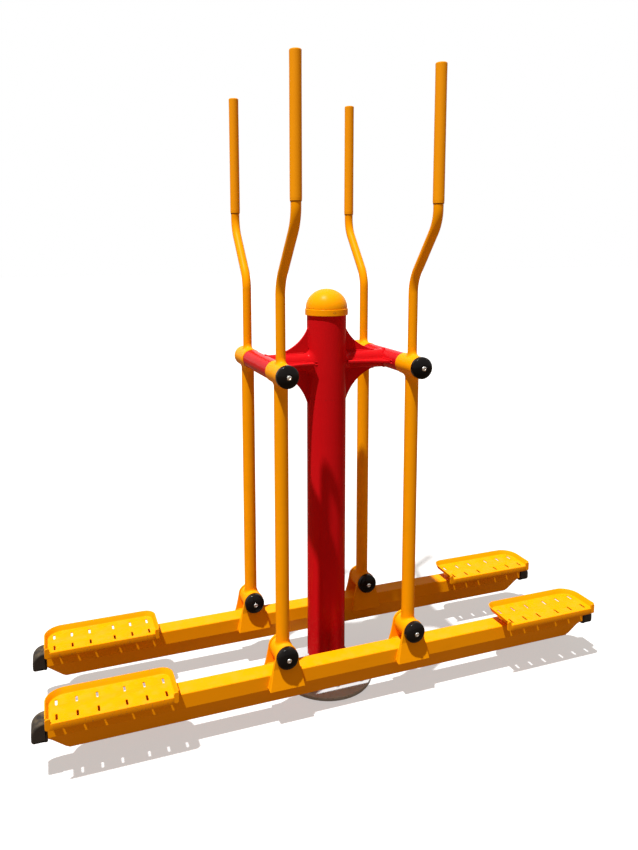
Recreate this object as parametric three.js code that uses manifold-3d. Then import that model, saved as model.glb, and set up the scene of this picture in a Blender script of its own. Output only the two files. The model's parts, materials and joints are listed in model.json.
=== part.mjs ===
// Outdoor air walker for two people, standing on one round post.
//
// Two long beams with pedals at their ends hang beside the post. Each beam hangs from two
// parallel bars, so it swings to and fro and stays level. The bars run on upwards past
// their pivots and end in handles, which swing with the beam.
//
// Millimetres, +Z up. X runs along the beams, Y from the front beam (minus) to the back
// beam (plus), and the origin is on the ground, on the axis of the post.
import * as THREE from 'three';
import { mergeVertices } from 'three/addons/utils/BufferGeometryUtils.js';
import Module from 'manifold-3d';

const wasm = await Module();
wasm.setup();

// Layout of the four pivots at the top and the four at the bottom
const pivotHeight = 1090;
const pivotToPivot = 862;
const pivotOffset = 216;
const planeOffset = 175;

// Clearances
const seatGap = 0.3;
const runningGap = 1.2;
const overrun = 20;
const halfTurn = 180;

// Base plate with its ribs and bolt holes
const baseRadius = 155;
const baseThickness = 12;
const ribHeight = 70;
const ribThickness = 8;
const ribToeHeight = 12;
const ribMargin = 50;
const boltCircleRadius = 125;
const boltHoleRadius = 9;

// Post, drawn in at its top for the sleeve that carries the arms, and the cap
const postRadius = 63.5;
const postWall = 4;
const postTopRadius = 58.5;
const postTopAbovePivot = 166;
const headAbovePivot = 151;
const headBelowPivot = 118;
const capCollarRadius = 69;
const capCollarHeight = 20;
const capGrooveDepth = 2.5;
const capGrooveHeight = 3;
const capDomeRadius = 67;
const capDomeHeight = 61;
const capWall = 3.5;
const setScrewHoleRadius = 3.3;

// Cross tubes, and the arm tubes and plates that join them to the post
const crossTubeRadius = 31;
const crossTubeWall = 4;
const plugLength = 22;
const armTubeRadius = 30;
const armTubeWall = 4;
const armThickness = 8;
const armHalfWidthAtPost = 55;
const armHalfWidthAtTube = 112;
const webThickness = 8;
const webTopAbovePivot = 115;
const webBottomBelowPivot = 143;

// Hubs: axle, bearings, sleeves, caps and cap screws
const axleRadius = 12.5;
const bearingRadius = 23.5;
const bearingInset = 3;
const sleeveRadius = 33;
const upperSleeveLength = 100;
const lowerSleeveLength = 58;
const hubCapRadius = 34;
const hubCapRim = 12;
const hubCapHeight = 25;
const lowCapRadius = 26;
const lowCapRim = 3.5;
const lowCapHeight = 8;
const hubCapWall = 4;
const screwRadius = 4;
const screwDepth = 22;
const screwHeadRadius = 7.5;
const screwHeadHeight = 4;
const socketRadius = 3.2;
const socketDepth = 2.4;

// Swing bars and their handles
const barRadius = 21;
const barWall = 3;
const drainRadius = 3;
const drainAboveSleeve = 12;
const handleRadius = 14.5;
const handleWall = 2.5;
const lowerBendHeight = 264;
const upperBendHeight = 436;
const handleOffset = 135;
const bendRadius = 110;
const handleTopHeight = 872;
const gripStartHeight = 487;
const gripRadius = 16.5;
const gripEndThickness = 4;
const gripEdge = 2;

// Beams: a hexagonal section, level on top and narrow at the bottom
const beamHalfLength = 905;
const beamTopBelowPivot = 54;
const beamSideHeight = 46;
const beamTaperHeight = 54;
const beamHalfWidth = 30;
const beamBottomHalfWidth = 12;
const beamWall = 3;
const beamEndHeight = 58;
const beamChamferLength = 56;

// Brackets that hold the lower axles on the beams
const bracketThickness = 8;
const bracketTopRadius = 35;
const bracketHalfWidth = 56;
const bracketFlare = 10;
const bracketWaistBelowPivot = 36;

// Rubber noses in the ends of the beams
const noseLength = 44;
const nosePlugLength = 26;
const noseTopRound = 38;
const noseBottomRound = 12;

// Pedals: pressed trays with a rim on three sides and an apron on the fourth
const pedalSetback = 174;
const pedalLength = 339;
const pedalNear = 77;
const pedalFar = 45;
const pedalSheet = 3;
const treadAboveBeam = 26.5;
const rimOut = 13;
const rimHeight = 17;
const rimCornerRadius = 45;
const apronHeight = 20;
const tabWidth = 15;
const tabRound = 6;
const slotWidth = 6.5;
const slotLength = 26;
const slotPlaceShares = [0.112, 0.277, 0.44];
const nearSlotRow = 52;
const farSlotRow = 12;
const footPlaceShare = 0.357;
const footThickness = 6;
const footInset = 3;

// Roundness: sides of the post, of hubs, of small pieces and of bars, and steps of curves
const postSides = 24;
const roundSides = 16;
const smallSides = 12;
const tubeSides = 16;
const bendSteps = 3;
const domeSteps = 4;
const liningSteps = 2;
const slotSteps = 2;
const hexSides = 6;

// Finishes
const finish = (color, roughness, metalness) =>
  new THREE.MeshStandardMaterial({ color, roughness, metalness });
const yellowPaint = finish(0xf7a90a, 0.35, 0.1);
const redPaint = finish(0xc20f1c, 0.25, 0.1);
const greyPaint = finish(0xb4b3b6, 0.55, 0.2);
const yellowPlastic = finish(0xffb90a, 0.4, 0);
const gripRubber = finish(0xee960c, 0.75, 0);
const blackPlastic = finish(0x100e0d, 0.15, 0);
const blackRubber = finish(0x2b241d, 0.85, 0);
const stainless = finish(0xb9b6b0, 0.3, 0.9);
const bearingSteel = finish(0x8d9095, 0.25, 0.95);

const part = new THREE.Group();

// Moves a geometry and returns it, so that calls can be chained.
function at(geometry, x, y, z) {
  return geometry.translate(x, y, z);
}

// Welds a geometry's vertices, drops collapsed triangles and makes it face outwards.
function closed(source) {
  const bare = source.clone();
  bare.deleteAttribute('normal');
  bare.deleteAttribute('uv');
  const welded = mergeVertices(bare);
  const index = Array.from(welded.index.array);
  const place = welded.attributes.position;
  const corner = (i) => new THREE.Vector3().fromBufferAttribute(place, i);
  const kept = [];
  let volume = 0;
  for (let i = 0; i < index.length; i += 3) {
    const [a, b, c] = index.slice(i, i + 3);
    if (a === b || b === c || c === a) continue;
    kept.push([a, b, c]);
    volume += corner(a).dot(corner(b).cross(corner(c)));
  }
  const facing = volume < 0 ? kept.map(([a, b, c]) => [a, c, b]) : kept;
  welded.setIndex(facing.flat());
  welded.computeVertexNormals();
  return welded;
}

// Adds one named piece to a group.
function piece(group, name, geometry, material) {
  const mesh = new THREE.Mesh(closed(geometry), material);
  mesh.name = name;
  group.add(mesh);
}

// Turns a geometry into a solid for cutting and joining.
function solid(source) {
  const geometry = closed(source);
  return new wasm.Manifold(new wasm.Mesh({
    numProp: 3,
    vertProperties: new Float32Array(geometry.attributes.position.array),
    triVerts: new Uint32Array(geometry.index.array),
  }));
}

// Turns a cut or joined solid back into a geometry.
function geometryOf(body) {
  const mesh = body.getMesh();
  const geometry = new THREE.BufferGeometry();
  geometry.setAttribute('position', new THREE.BufferAttribute(new Float32Array(mesh.vertProperties), 3));
  geometry.setIndex(new THREE.BufferAttribute(new Uint32Array(mesh.triVerts), 1));
  geometry.computeVertexNormals();
  return geometry;
}

// A turned piece about the Y axis from a profile of [radius, height] pairs.
function turned(profile, sides = roundSides) {
  return new THREE.LatheGeometry(profile.map(([r, y]) => new THREE.Vector2(r, y)), sides);
}

// A pipe along Y, centred on the origin.
function pipe(outer, inner, length, sides = roundSides) {
  const half = length / 2;
  return turned([[inner, -half], [outer, -half], [outer, half], [inner, half], [inner, -half]], sides);
}

// A pipe along Z that starts at one height and ends at another.
function uprightPipe(outer, inner, bottom, top, sides = roundSides) {
  const upright = pipe(outer, inner, top - bottom, sides).rotateX(Math.PI / 2);
  return at(upright, 0, 0, (top + bottom) / 2);
}

// A round bar along Y, and one along Z, centred on the origin.
function rod(radius, length, sides = roundSides) {
  return new THREE.CylinderGeometry(radius, radius, length, sides);
}
function uprightRod(radius, length, sides = roundSides) {
  return rod(radius, length, sides).rotateX(Math.PI / 2);
}

// A flat outline in X and Y, extruded upwards from Z = 0.
function upwards(shape, thickness) {
  return new THREE.ExtrudeGeometry(shape, { depth: thickness, bevelEnabled: false, curveSegments: domeSteps });
}

// Flat outlines extruded level: one in Y and Z along X, and one in X and Z along Y.
function alongX(shape, length) {
  const slab = new THREE.ExtrudeGeometry(shape, { depth: length, bevelEnabled: false });
  const turn = new THREE.Matrix4().makeBasis(
    new THREE.Vector3(0, 1, 0), new THREE.Vector3(0, 0, 1), new THREE.Vector3(1, 0, 0));
  return at(slab.applyMatrix4(turn), -length / 2, 0, 0);
}
function alongY(shape, length, segments = domeSteps) {
  const slab = new THREE.ExtrudeGeometry(shape, { depth: length, bevelEnabled: false, curveSegments: segments });
  const turn = new THREE.Matrix4().makeBasis(
    new THREE.Vector3(1, 0, 0), new THREE.Vector3(0, 0, 1), new THREE.Vector3(0, 1, 0));
  return at(slab.applyMatrix4(turn), 0, -length / 2, 0);
}

// A closed outline through the given corners.
function outline(corners) {
  return new THREE.Shape(corners.map(([u, v]) => new THREE.Vector2(u, v)));
}

// Base plate with four ribs, welded to it as one piece
function basePlate() {
  let plate = solid(at(uprightRod(baseRadius, baseThickness, postSides), 0, 0, baseThickness / 2));
  const start = postRadius + seatGap;
  const end = baseRadius - ribMargin;
  const rib = outline([
    [start, 0], [end, 0], [end, baseThickness + ribToeHeight],
    [start + ribThickness, baseThickness + ribHeight], [start, baseThickness + ribHeight],
  ]);
  for (const quarter of [0, 1, 2, 3]) {
    plate = plate.add(solid(alongY(rib, ribThickness).rotateZ(quarter * Math.PI / 2)));
    const angle = (quarter + 1 / 2) * Math.PI / 2;
    const hole = uprightRod(boltHoleRadius, baseThickness + overrun, smallSides);
    at(hole, boltCircleRadius * Math.cos(angle), boltCircleRadius * Math.sin(angle), baseThickness / 2);
    plate = plate.subtract(solid(hole));
  }
  return geometryOf(plate);
}

piece(part, 'base_plate', basePlate(), greyPaint);

// Post and its cap
const postTop = pivotHeight + postTopAbovePivot;
const headTop = pivotHeight + headAbovePivot;
const headBottom = pivotHeight - headBelowPivot;
const postBottom = baseThickness + seatGap;
const postShoulder = headBottom - seatGap;

// The post is a tube whose top is drawn in, so that the head's sleeve lies flush with it.
function post() {
  const funnel = postShoulder - (postRadius - postTopRadius);
  return turned([
    [postRadius - postWall, postBottom], [postRadius, postBottom], [postRadius, postShoulder],
    [postTopRadius, postShoulder], [postTopRadius, postTop], [postTopRadius - postWall, postTop],
    [postTopRadius - postWall, postShoulder], [postRadius - postWall, funnel],
    [postRadius - postWall, postBottom],
  ], postSides).rotateX(Math.PI / 2);
}

piece(part, 'post', post(), redPaint);

const capBottom = headTop + seatGap;
const setScrewHeight = capBottom + capCollarHeight / 2;
const setScrewAngles = [0, 1, 2].map((k) => -Math.PI / 2 + k * 2 * Math.PI / 3);

// A quarter of an ellipse from its widest ring up to its top, as [radius, height] pairs.
function domeArc(radius, height, base, steps) {
  return Array.from({ length: steps + 1 }, (_, k) => {
    const angle = (k / steps) * Math.PI / 2;
    return [radius * Math.cos(angle), base + height * Math.sin(angle)];
  });
}

function radialRod(radius, from, to, angle, z) {
  const pin = rod(radius, to - from, smallSides).rotateZ(Math.PI / 2);
  return at(pin, (from + to) / 2, 0, 0).rotateZ(angle).translate(0, 0, z);
}

function postCap() {
  const grooveTop = capCollarHeight + capGrooveHeight;
  const outer = [
    [capCollarRadius, 0],
    [capCollarRadius, capCollarHeight],
    [capCollarRadius - capGrooveDepth, capCollarHeight],
    [capCollarRadius - capGrooveDepth, grooveTop],
    ...domeArc(capDomeRadius, capDomeHeight, grooveTop, domeSteps + liningSteps),
  ];
  const inner = domeArc(capDomeRadius - capWall, capDomeHeight - capWall, grooveTop, liningSteps).reverse();
  const bore = postTopRadius + seatGap;
  const shell = turned([...outer, ...inner, [bore, grooveTop - capWall], [bore, 0], [capCollarRadius, 0]], postSides)
    .rotateX(Math.PI / 2);
  let body = solid(at(shell, 0, 0, capBottom));
  for (const angle of setScrewAngles) {
    const hole = radialRod(setScrewHoleRadius, postTopRadius, capCollarRadius + overrun, angle, setScrewHeight);
    body = body.subtract(solid(hole));
  }
  return geometryOf(body);
}

piece(part, 'post_cap', postCap(), yellowPlastic);

// Head frame: a sleeve round the post, two arms and two cross tubes, welded as one piece.
// An arm is a tube with a level plate along its middle and an upright web above and below it.
const sides = [['left', -1], ['right', 1]];
const crossTubeHalf = planeOffset - upperSleeveLength / 2 - runningGap;

// The right arm's level plate, seen from above: it widens in a curve towards the cross tube.
function armPlate() {
  const shape = new THREE.Shape();
  const bendX = (pivotOffset + postRadius) / 2;
  shape.moveTo(0, -armHalfWidthAtPost);
  shape.quadraticCurveTo(bendX, -armHalfWidthAtPost, pivotOffset, -armHalfWidthAtTube);
  shape.lineTo(pivotOffset, armHalfWidthAtTube);
  shape.quadraticCurveTo(bendX, armHalfWidthAtPost, 0, armHalfWidthAtPost);
  return at(upwards(shape, armThickness), 0, 0, -armThickness / 2);
}

// The right arm's web: its curved edges run from the post to the top and bottom of the tube.
function armWeb() {
  const elbow = postRadius + crossTubeRadius;
  const shape = new THREE.Shape();
  shape.moveTo(0, -webBottomBelowPivot);
  shape.lineTo(postRadius, -webBottomBelowPivot);
  shape.quadraticCurveTo(elbow, -crossTubeRadius - webThickness, pivotOffset, -crossTubeRadius + webThickness);
  shape.lineTo(pivotOffset, crossTubeRadius - webThickness);
  shape.quadraticCurveTo(elbow, crossTubeRadius + webThickness, postRadius, webTopAbovePivot);
  shape.lineTo(0, webTopAbovePivot);
  return alongY(shape, webThickness);
}

// A round bar from the post's axis to a cross tube's axis, for the arm's tube and its hollow.
function armRod(radius, from, to) {
  return at(rod(radius, to - from).rotateZ(Math.PI / 2), (from + to) / 2, 0, 0);
}

function headFrame() {
  const sleeve = uprightRod(postRadius, headTop - headBottom, postSides);
  let frame = solid(at(sleeve, 0, 0, (headTop + headBottom) / 2 - pivotHeight));
  for (const [, side] of sides) {
    const turn = side < 0 ? Math.PI : 0;
    frame = frame.add(solid(armPlate().rotateZ(turn))).add(solid(armWeb().rotateZ(turn)));
    frame = frame.add(solid(armRod(armTubeRadius, 0, pivotOffset).rotateZ(turn)));
    const hollow = armRod(armTubeRadius - armTubeWall, 0, pivotOffset - crossTubeRadius);
    frame = frame.subtract(solid(hollow.rotateZ(turn)));
    frame = frame.add(solid(at(rod(crossTubeRadius, crossTubeHalf * 2), side * pivotOffset, 0, 0)));
  }
  frame = frame.subtract(solid(uprightRod(postTopRadius + seatGap, postTop, postSides)));
  const below = uprightRod(postRadius + seatGap, headBelowPivot, postSides);
  frame = frame.subtract(solid(at(below, 0, 0, -headBelowPivot * 3 / 2)));
  for (const [, side] of sides) {
    frame = frame.subtract(solid(at(crossTubeBore(), side * pivotOffset, 0, 0)));
  }
  return at(geometryOf(frame), 0, 0, pivotHeight);
}

// The inside of a cross tube: wide along its length, narrow through the plugs at its ends.
function crossTubeBore() {
  const wide = crossTubeRadius - crossTubeWall;
  const narrow = axleRadius + seatGap;
  const shoulder = crossTubeHalf - plugLength;
  const end = crossTubeHalf + overrun;
  return turned([
    [0, -end], [narrow, -end], [narrow, -shoulder], [wide, -shoulder],
    [wide, shoulder], [narrow, shoulder], [narrow, end], [0, end],
  ]);
}

piece(part, 'head_frame', headFrame(), redPaint);

// Axles: the upper ones run through the cross tubes, the lower ones through the beam brackets
const upperAxleHalf = planeOffset + upperSleeveLength / 2 + seatGap;
const lowerAxleHalf = beamHalfWidth + bracketThickness + seatGap;

// An axle along Y with a threaded hole in each end for the cap screw.
function axle(half) {
  const bore = screwRadius + seatGap;
  const floor = half - screwDepth - seatGap;
  return turned([
    [0, -floor], [bore, -floor], [bore, -half], [axleRadius, -half],
    [axleRadius, half], [bore, half], [bore, floor], [0, floor],
  ]);
}

for (const [sideName, side] of sides) {
  piece(part, `upper_axle_${sideName}`, at(axle(upperAxleHalf), side * pivotOffset, 0, pivotHeight), bearingSteel);
}

// Hub ends: cap and cap screw, facing minus Y, with the axle's end at Y = 0. A hub's front
// end has a domed cap and its back end a low one.
const domedCap = { radius: hubCapRadius, rim: hubCapRim, height: hubCapHeight, steps: domeSteps };
const lowCap = { radius: lowCapRadius, rim: lowCapRim, height: lowCapHeight, steps: liningSteps };

function hubCap({ radius, rim, height, steps }) {
  const bore = screwRadius + seatGap;
  const crown = height - rim;
  const rings = domeArc(radius, crown, rim, steps).filter(([r]) => r > bore);
  const top = rim + crown * Math.sqrt(1 - (bore / radius) ** 2);
  const innerRadius = radius - hubCapWall;
  const profile = [
    [radius, seatGap],
    ...rings, [bore, top],
    [bore, rim], [innerRadius, rim],
    [innerRadius, seatGap], [radius, seatGap],
  ];
  return turned(profile.map(([r, y]) => [r, -y]), roundSides);
}

function hubScrew({ height }) {
  const seat = -height - seatGap;
  const shank = rod(screwRadius, height + screwDepth, smallSides);
  const head = turned(domeArc(screwHeadRadius, screwHeadHeight, 0, liningSteps)
    .concat([[0, 0], [screwHeadRadius, 0]]).map(([r, y]) => [r, seat - y]), smallSides);
  const socket = rod(socketRadius, socketDepth * 2, hexSides);
  const screw = solid(at(shank, 0, (screwDepth - height) / 2 - seatGap, 0))
    .add(solid(head))
    .subtract(solid(at(socket, 0, seat - screwHeadHeight, 0)));
  return geometryOf(screw);
}

// Puts a cap and its screw on one end of a hub: end is -1 for the front end and 1 for the back.
function closeHub(group, label, x, y, z, end) {
  const cap = end < 0 ? domedCap : lowCap;
  const facing = (geometry) => at(end < 0 ? geometry : geometry.rotateZ(Math.PI), x, y, z);
  piece(group, `hub_cap_${label}`, facing(hubCap(cap)), blackPlastic);
  piece(group, `hub_screw_${label}`, facing(hubScrew(cap)), stainless);
}

const planes = [['front', -1], ['back', 1]];
for (const [planeName, plane] of planes) {
  for (const [sideName, side] of sides) {
    closeHub(part, `upper_${planeName}_${sideName}`, side * pivotOffset, plane * upperAxleHalf, pivotHeight, plane);
  }
}

// Swing bars
// A hub's two ball bearings and the spacer between them, as one cartridge in its sleeve.
function hubBearings(length, z) {
  return at(pipe(bearingRadius, axleRadius + seatGap, length - bearingInset * 2), 0, 0, z);
}

// The handle's centre line: up, out over two bends, and up again. Out is -1 or 1 along Y.
function handlePath(out) {
  const lean = Math.atan2(handleOffset, upperBendHeight - lowerBendHeight);
  const tangent = bendRadius * Math.tan(lean / 2);
  const points = [new THREE.Vector3(0, 0, 0)];
  for (let k = 0; k <= bendSteps; k += 1) {
    const angle = (k / bendSteps) * lean;
    points.push(new THREE.Vector3(0, out * bendRadius * (1 - Math.cos(angle)),
      lowerBendHeight - tangent + bendRadius * Math.sin(angle)));
  }
  for (let k = 0; k <= bendSteps; k += 1) {
    const angle = (1 - k / bendSteps) * lean;
    points.push(new THREE.Vector3(0, out * (handleOffset - bendRadius * (1 - Math.cos(angle))),
      upperBendHeight + tangent - bendRadius * Math.sin(angle)));
  }
  points.push(new THREE.Vector3(0, out * handleOffset, handleTopHeight - gripEndThickness - seatGap));
  return points;
}

// A round bar whose rings stand square to a bent centre line in the plane X = 0.
function bentRod(points, radius) {
  const place = [];
  const index = [];
  points.forEach((point, k) => {
    const arrive = point.clone().sub(points[Math.max(k - 1, 0)]).normalize();
    const leave = points[Math.min(k + 1, points.length - 1)].clone().sub(point).normalize();
    const along = arrive.add(leave).normalize();
    for (let s = 0; s < tubeSides; s += 1) {
      const angle = (s / tubeSides) * 2 * Math.PI;
      place.push(point.x + radius * Math.cos(angle),
        point.y + along.z * radius * Math.sin(angle),
        point.z - along.y * radius * Math.sin(angle));
    }
  });
  const last = points.length - 1;
  for (let s = 0; s < tubeSides; s += 1) {
    const next = (s + 1) % tubeSides;
    for (let ring = 0; ring < last; ring += 1) {
      const [a, b] = [ring * tubeSides + s, ring * tubeSides + next];
      index.push(a, b, b + tubeSides, a, b + tubeSides, a + tubeSides);
    }
    if (s > 0 && next > 0) {
      index.push(0, next, s);
      index.push(last * tubeSides, last * tubeSides + s, last * tubeSides + next);
    }
  }
  const geometry = new THREE.BufferGeometry();
  geometry.setAttribute('position', new THREE.BufferAttribute(new Float32Array(place), 3));
  geometry.setIndex(index);
  return geometry;
}

// A swing bar: two sleeves, the tube between them and the handle tube above, welded as one.
function swingBar(out) {
  const halfLength = pivotToPivot / 2;
  const path = handlePath(out);
  let bar = solid(at(uprightRod(barRadius, pivotToPivot, tubeSides), 0, 0, -halfLength))
    .add(solid(bentRod(path, handleRadius)));
  bar = bar.add(solid(rod(sleeveRadius, upperSleeveLength)));
  bar = bar.add(solid(at(rod(sleeveRadius, lowerSleeveLength), 0, 0, -pivotToPivot)));
  const hollow = pivotToPivot - sleeveRadius * 2;
  bar = bar.subtract(solid(at(uprightRod(barRadius - barWall, hollow, tubeSides), 0, 0, -halfLength)));
  const handleHollow = path.map((point) => point.clone());
  handleHollow[0].z = sleeveRadius;
  handleHollow[handleHollow.length - 1].z += overrun;
  bar = bar.subtract(solid(bentRod(handleHollow, handleRadius - handleWall)));
  const sleeveBore = bearingRadius + seatGap;
  bar = bar.subtract(solid(rod(sleeveBore, upperSleeveLength + overrun)));
  bar = bar.subtract(solid(at(rod(sleeveBore, lowerSleeveLength + overrun), 0, 0, -pivotToPivot)));
  const drainHeight = sleeveRadius + drainAboveSleeve - pivotToPivot;
  const drain = at(rod(drainRadius, barRadius * 2, smallSides), 0, -out * barRadius, drainHeight);
  return geometryOf(bar.subtract(solid(drain)));
}

function grip(out) {
  const bore = handleRadius + seatGap;
  const ceiling = handleTopHeight - gripEndThickness;
  const profile = [
    [bore, gripStartHeight], [gripRadius - gripEdge / 2, gripStartHeight],
    [gripRadius, gripStartHeight + gripEdge], [gripRadius, handleTopHeight - gripEdge],
    [gripRadius - gripEdge, handleTopHeight], [0, handleTopHeight], [0, ceiling], [bore, ceiling],
    [bore, gripStartHeight],
  ];
  return at(turned(profile, tubeSides).rotateX(Math.PI / 2), 0, out * handleOffset, 0);
}

for (const [planeName, plane] of planes) {
  for (const [sideName, side] of sides) {
    const bar = new THREE.Group();
    bar.position.set(side * pivotOffset, plane * planeOffset, pivotHeight);
    part.add(bar);
    const label = `${planeName}_${sideName}`;
    piece(bar, `swing_bar_${label}`, swingBar(plane), yellowPaint);
    piece(bar, `grip_${label}`, grip(plane), gripRubber);
    piece(bar, `upper_bearing_${label}`, hubBearings(upperSleeveLength, 0), bearingSteel);
    piece(bar, `lower_bearing_${label}`, hubBearings(lowerSleeveLength, -pivotToPivot), bearingSteel);
  }
}

// Beams, seen from the height of the lower pivots: Z = 0 is the axis of the lower axles
const beamTop = -beamTopBelowPivot;
const beamCrease = beamTop - beamSideHeight;
const beamBottom = beamCrease - beamTaperHeight;
const beamEndBottom = beamTop - beamEndHeight;

// The beam's cross-section, drawn in by a wall's thickness for its inside.
function beamSection(inset) {
  const wide = beamHalfWidth - inset;
  const narrow = beamBottomHalfWidth - inset / 2;
  return outline([
    [-wide, beamTop - inset], [-wide, beamCrease], [-narrow, beamBottom + inset],
    [narrow, beamBottom + inset], [wide, beamCrease], [wide, beamTop - inset],
  ]);
}

// The beam seen from the side, with its lower corners cut off.
function beamSide(inset, reach) {
  const low = beamBottom + inset;
  const slope = (beamEndBottom - beamBottom) / beamChamferLength;
  const end = beamHalfLength + reach;
  const footX = beamHalfLength - beamChamferLength;
  const endZ = beamEndBottom + inset + reach * slope;
  return outline([
    [-end, beamTop], [-end, endZ], [-footX, low], [footX, low], [end, endZ], [end, beamTop],
  ]);
}

// The hollow beam, open at its ends, with its four bracket plates welded on.
function beam() {
  const width = (beamHalfWidth + overrun) * 2;
  const outer = solid(alongX(beamSection(0), beamHalfLength * 2))
    .intersect(solid(alongY(beamSide(0, 0), width)));
  const inner = solid(alongX(beamSection(beamWall), (beamHalfLength + overrun) * 2))
    .intersect(solid(alongY(beamSide(beamWall, overrun), width)));
  let weldment = outer;
  for (const [, side] of sides) {
    for (const face of [-1, 1]) {
      weldment = weldment.add(bracketPlate(face).translate([side * pivotOffset, 0, 0]));
    }
  }
  return geometryOf(weldment.subtract(inner));
}

// A rubber nose: a rounded block outside the beam's end and a plug inside it.
function beamNose(side) {
  const start = beamHalfLength + seatGap;
  const end = beamHalfLength + noseLength;
  const shape = new THREE.Shape();
  shape.moveTo(start, beamEndBottom);
  shape.lineTo(end - noseBottomRound, beamEndBottom);
  shape.quadraticCurveTo(end, beamEndBottom, end, beamEndBottom + noseBottomRound);
  shape.lineTo(end, beamTop - noseTopRound);
  shape.quadraticCurveTo(end, beamTop, end - noseTopRound, beamTop);
  shape.lineTo(start, beamTop);
  const block = solid(alongY(shape, beamHalfWidth * 2));
  const inset = beamWall + seatGap;
  const plugStart = beamHalfLength - nosePlugLength;
  const plugBottom = beamEndBottom + inset + beamWall;
  const plugShape = outline([
    [plugStart, beamTop - inset], [plugStart, plugBottom + nosePlugLength],
    [start, plugBottom + nosePlugLength / 2], [start + seatGap, beamTop - inset],
  ]);
  const plug = solid(alongY(plugShape, (beamHalfWidth - inset) * 2));
  const nose = geometryOf(block.add(plug));
  return side < 0 ? nose.rotateZ(Math.PI) : nose;
}

// A bracket plate for one face of the beam: round over the axle, flared towards the crease.
function bracketPlate(face) {
  const depth = bracketThickness + bracketFlare;
  const front = new THREE.Shape();
  front.moveTo(-bracketHalfWidth, beamCrease);
  front.lineTo(bracketHalfWidth, beamCrease);
  front.lineTo(bracketTopRadius, 0);
  front.absarc(0, 0, bracketTopRadius, 0, Math.PI);
  front.lineTo(-bracketHalfWidth, beamCrease);
  const inner = beamHalfWidth;
  const outer = inner + bracketThickness;
  const waist = -bracketWaistBelowPivot;
  const profile = outline([
    [inner, beamCrease], [outer + bracketFlare, beamCrease], [outer, waist],
    [outer, bracketTopRadius], [inner, bracketTopRadius],
  ]);
  const hole = rod(axleRadius + seatGap, (beamHalfWidth + depth + overrun) * 2);
  const slab = solid(at(alongY(front, depth + overrun, domeSteps + liningSteps), 0, inner + (depth + overrun) / 2, 0))
    .intersect(solid(alongX(profile, bracketHalfWidth * 2)))
    .subtract(solid(hole));
  return face < 0 ? slab.rotate([0, 0, halfTurn]) : slab;
}

// A slot with round ends, long in Y, as a hole in the tread's outline.
function slotHole(x, y) {
  const hole = new THREE.Path();
  const radius = slotWidth / 2;
  const straight = slotLength / 2 - radius;
  hole.absarc(x, y + straight, radius, 0, Math.PI);
  hole.absarc(x, y - straight, radius, Math.PI, 2 * Math.PI);
  return hole;
}

// A pedal for the right end of a beam, centred on X = 0 with its tread's top at Z = 0.
function pedal() {
  const end = pedalLength / 2;
  const far = pedalFar;
  const near = -pedalNear;
  const round = rimCornerRadius;

  const tread = new THREE.Shape();
  tread.moveTo(-end, near);
  tread.lineTo(end, near);
  tread.lineTo(end, far - round);
  tread.absarc(end - round, far - round, round, 0, Math.PI / 2);
  tread.lineTo(-end, far);
  for (const share of slotPlaceShares) {
    for (const way of [-1, 1]) {
      const x = way * share * pedalLength;
      tread.holes.push(slotHole(x, -nearSlotRow), slotHole(x, farSlotRow));
    }
  }
  const sheet = new THREE.ExtrudeGeometry(tread, { depth: pedalSheet, bevelEnabled: false, curveSegments: slotSteps });
  let body = solid(at(sheet, 0, 0, -pedalSheet));

  // The rim leans outwards: its section is a strip of sheet that starts under the tread's edge.
  const rimBand = (from) => [
    [from - pedalSheet, -pedalSheet], [from, -pedalSheet], [from + rimOut, rimHeight],
    [from + rimOut - pedalSheet, rimHeight], [from - pedalSheet, 0],
  ];
  const farRim = alongX(outline(rimBand(far)), pedalLength - round);
  body = body.add(solid(at(farRim, -round / 2, 0, 0)));
  const outerRim = alongY(outline(rimBand(end)), far - round - near);
  body = body.add(solid(at(outerRim, 0, (far - round + near) / 2, 0)));
  const innerRim = alongY(outline(rimBand(end)), far - near);
  body = body.add(solid(at(innerRim, 0, -(far + near) / 2, 0).rotateZ(Math.PI)));
  const cone = turned([...rimBand(round), rimBand(round)[0]]).rotateX(Math.PI / 2);
  const quarter = new THREE.BoxGeometry(round + overrun, round + overrun, rimHeight + overrun);
  const corner = solid(cone).intersect(solid(at(quarter, (round + overrun) / 2, (round + overrun) / 2, 0)));
  body = body.add(corner.translate([end - round, far - round, 0]));

  // The apron hangs from the near edge, with a rounded tab at each end of it.
  const apron = new THREE.BoxGeometry(pedalLength, pedalSheet, apronHeight);
  body = body.add(solid(at(apron, 0, near + pedalSheet / 2, -apronHeight / 2)));
  for (const way of [-1, 1]) {
    body = body.add(solid(at(cornerTab(), way * (end + tabWidth / 2 - pedalSheet), near + pedalSheet / 2, 0)));
  }

  // Three feet carry the tread on the beam.
  const footHeight = treadAboveBeam - seatGap;
  for (const x of [-1, 0, 1].map((way) => way * footPlaceShare * pedalLength)) {
    const foot = new THREE.BoxGeometry(footThickness, (beamHalfWidth - footInset) * 2, footHeight);
    body = body.add(solid(at(foot, x, 0, -footHeight / 2)));
  }
  return geometryOf(body);
}

// The rounded tab that closes a corner between the apron and an end rim.
function cornerTab() {
  const half = tabWidth / 2;
  const top = rimHeight - tabRound;
  const low = -apronHeight;
  const shape = new THREE.Shape();
  shape.moveTo(-half + tabRound, low);
  shape.lineTo(half - tabRound, low);
  shape.quadraticCurveTo(half, low, half, low + tabRound);
  shape.lineTo(half, top - tabRound);
  shape.quadraticCurveTo(half, top, half - tabRound, top);
  shape.lineTo(-half + tabRound, top);
  shape.quadraticCurveTo(-half, top, -half, top - tabRound);
  shape.lineTo(-half, low + tabRound);
  shape.quadraticCurveTo(-half, low, -half + tabRound, low);
  return alongY(shape, pedalSheet, domeSteps / 2);
}

// A left pedal is a right pedal mirrored end for end.
function mirroredX(geometry) {
  return closed(geometry.clone().scale(-1, 1, 1));
}

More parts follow.
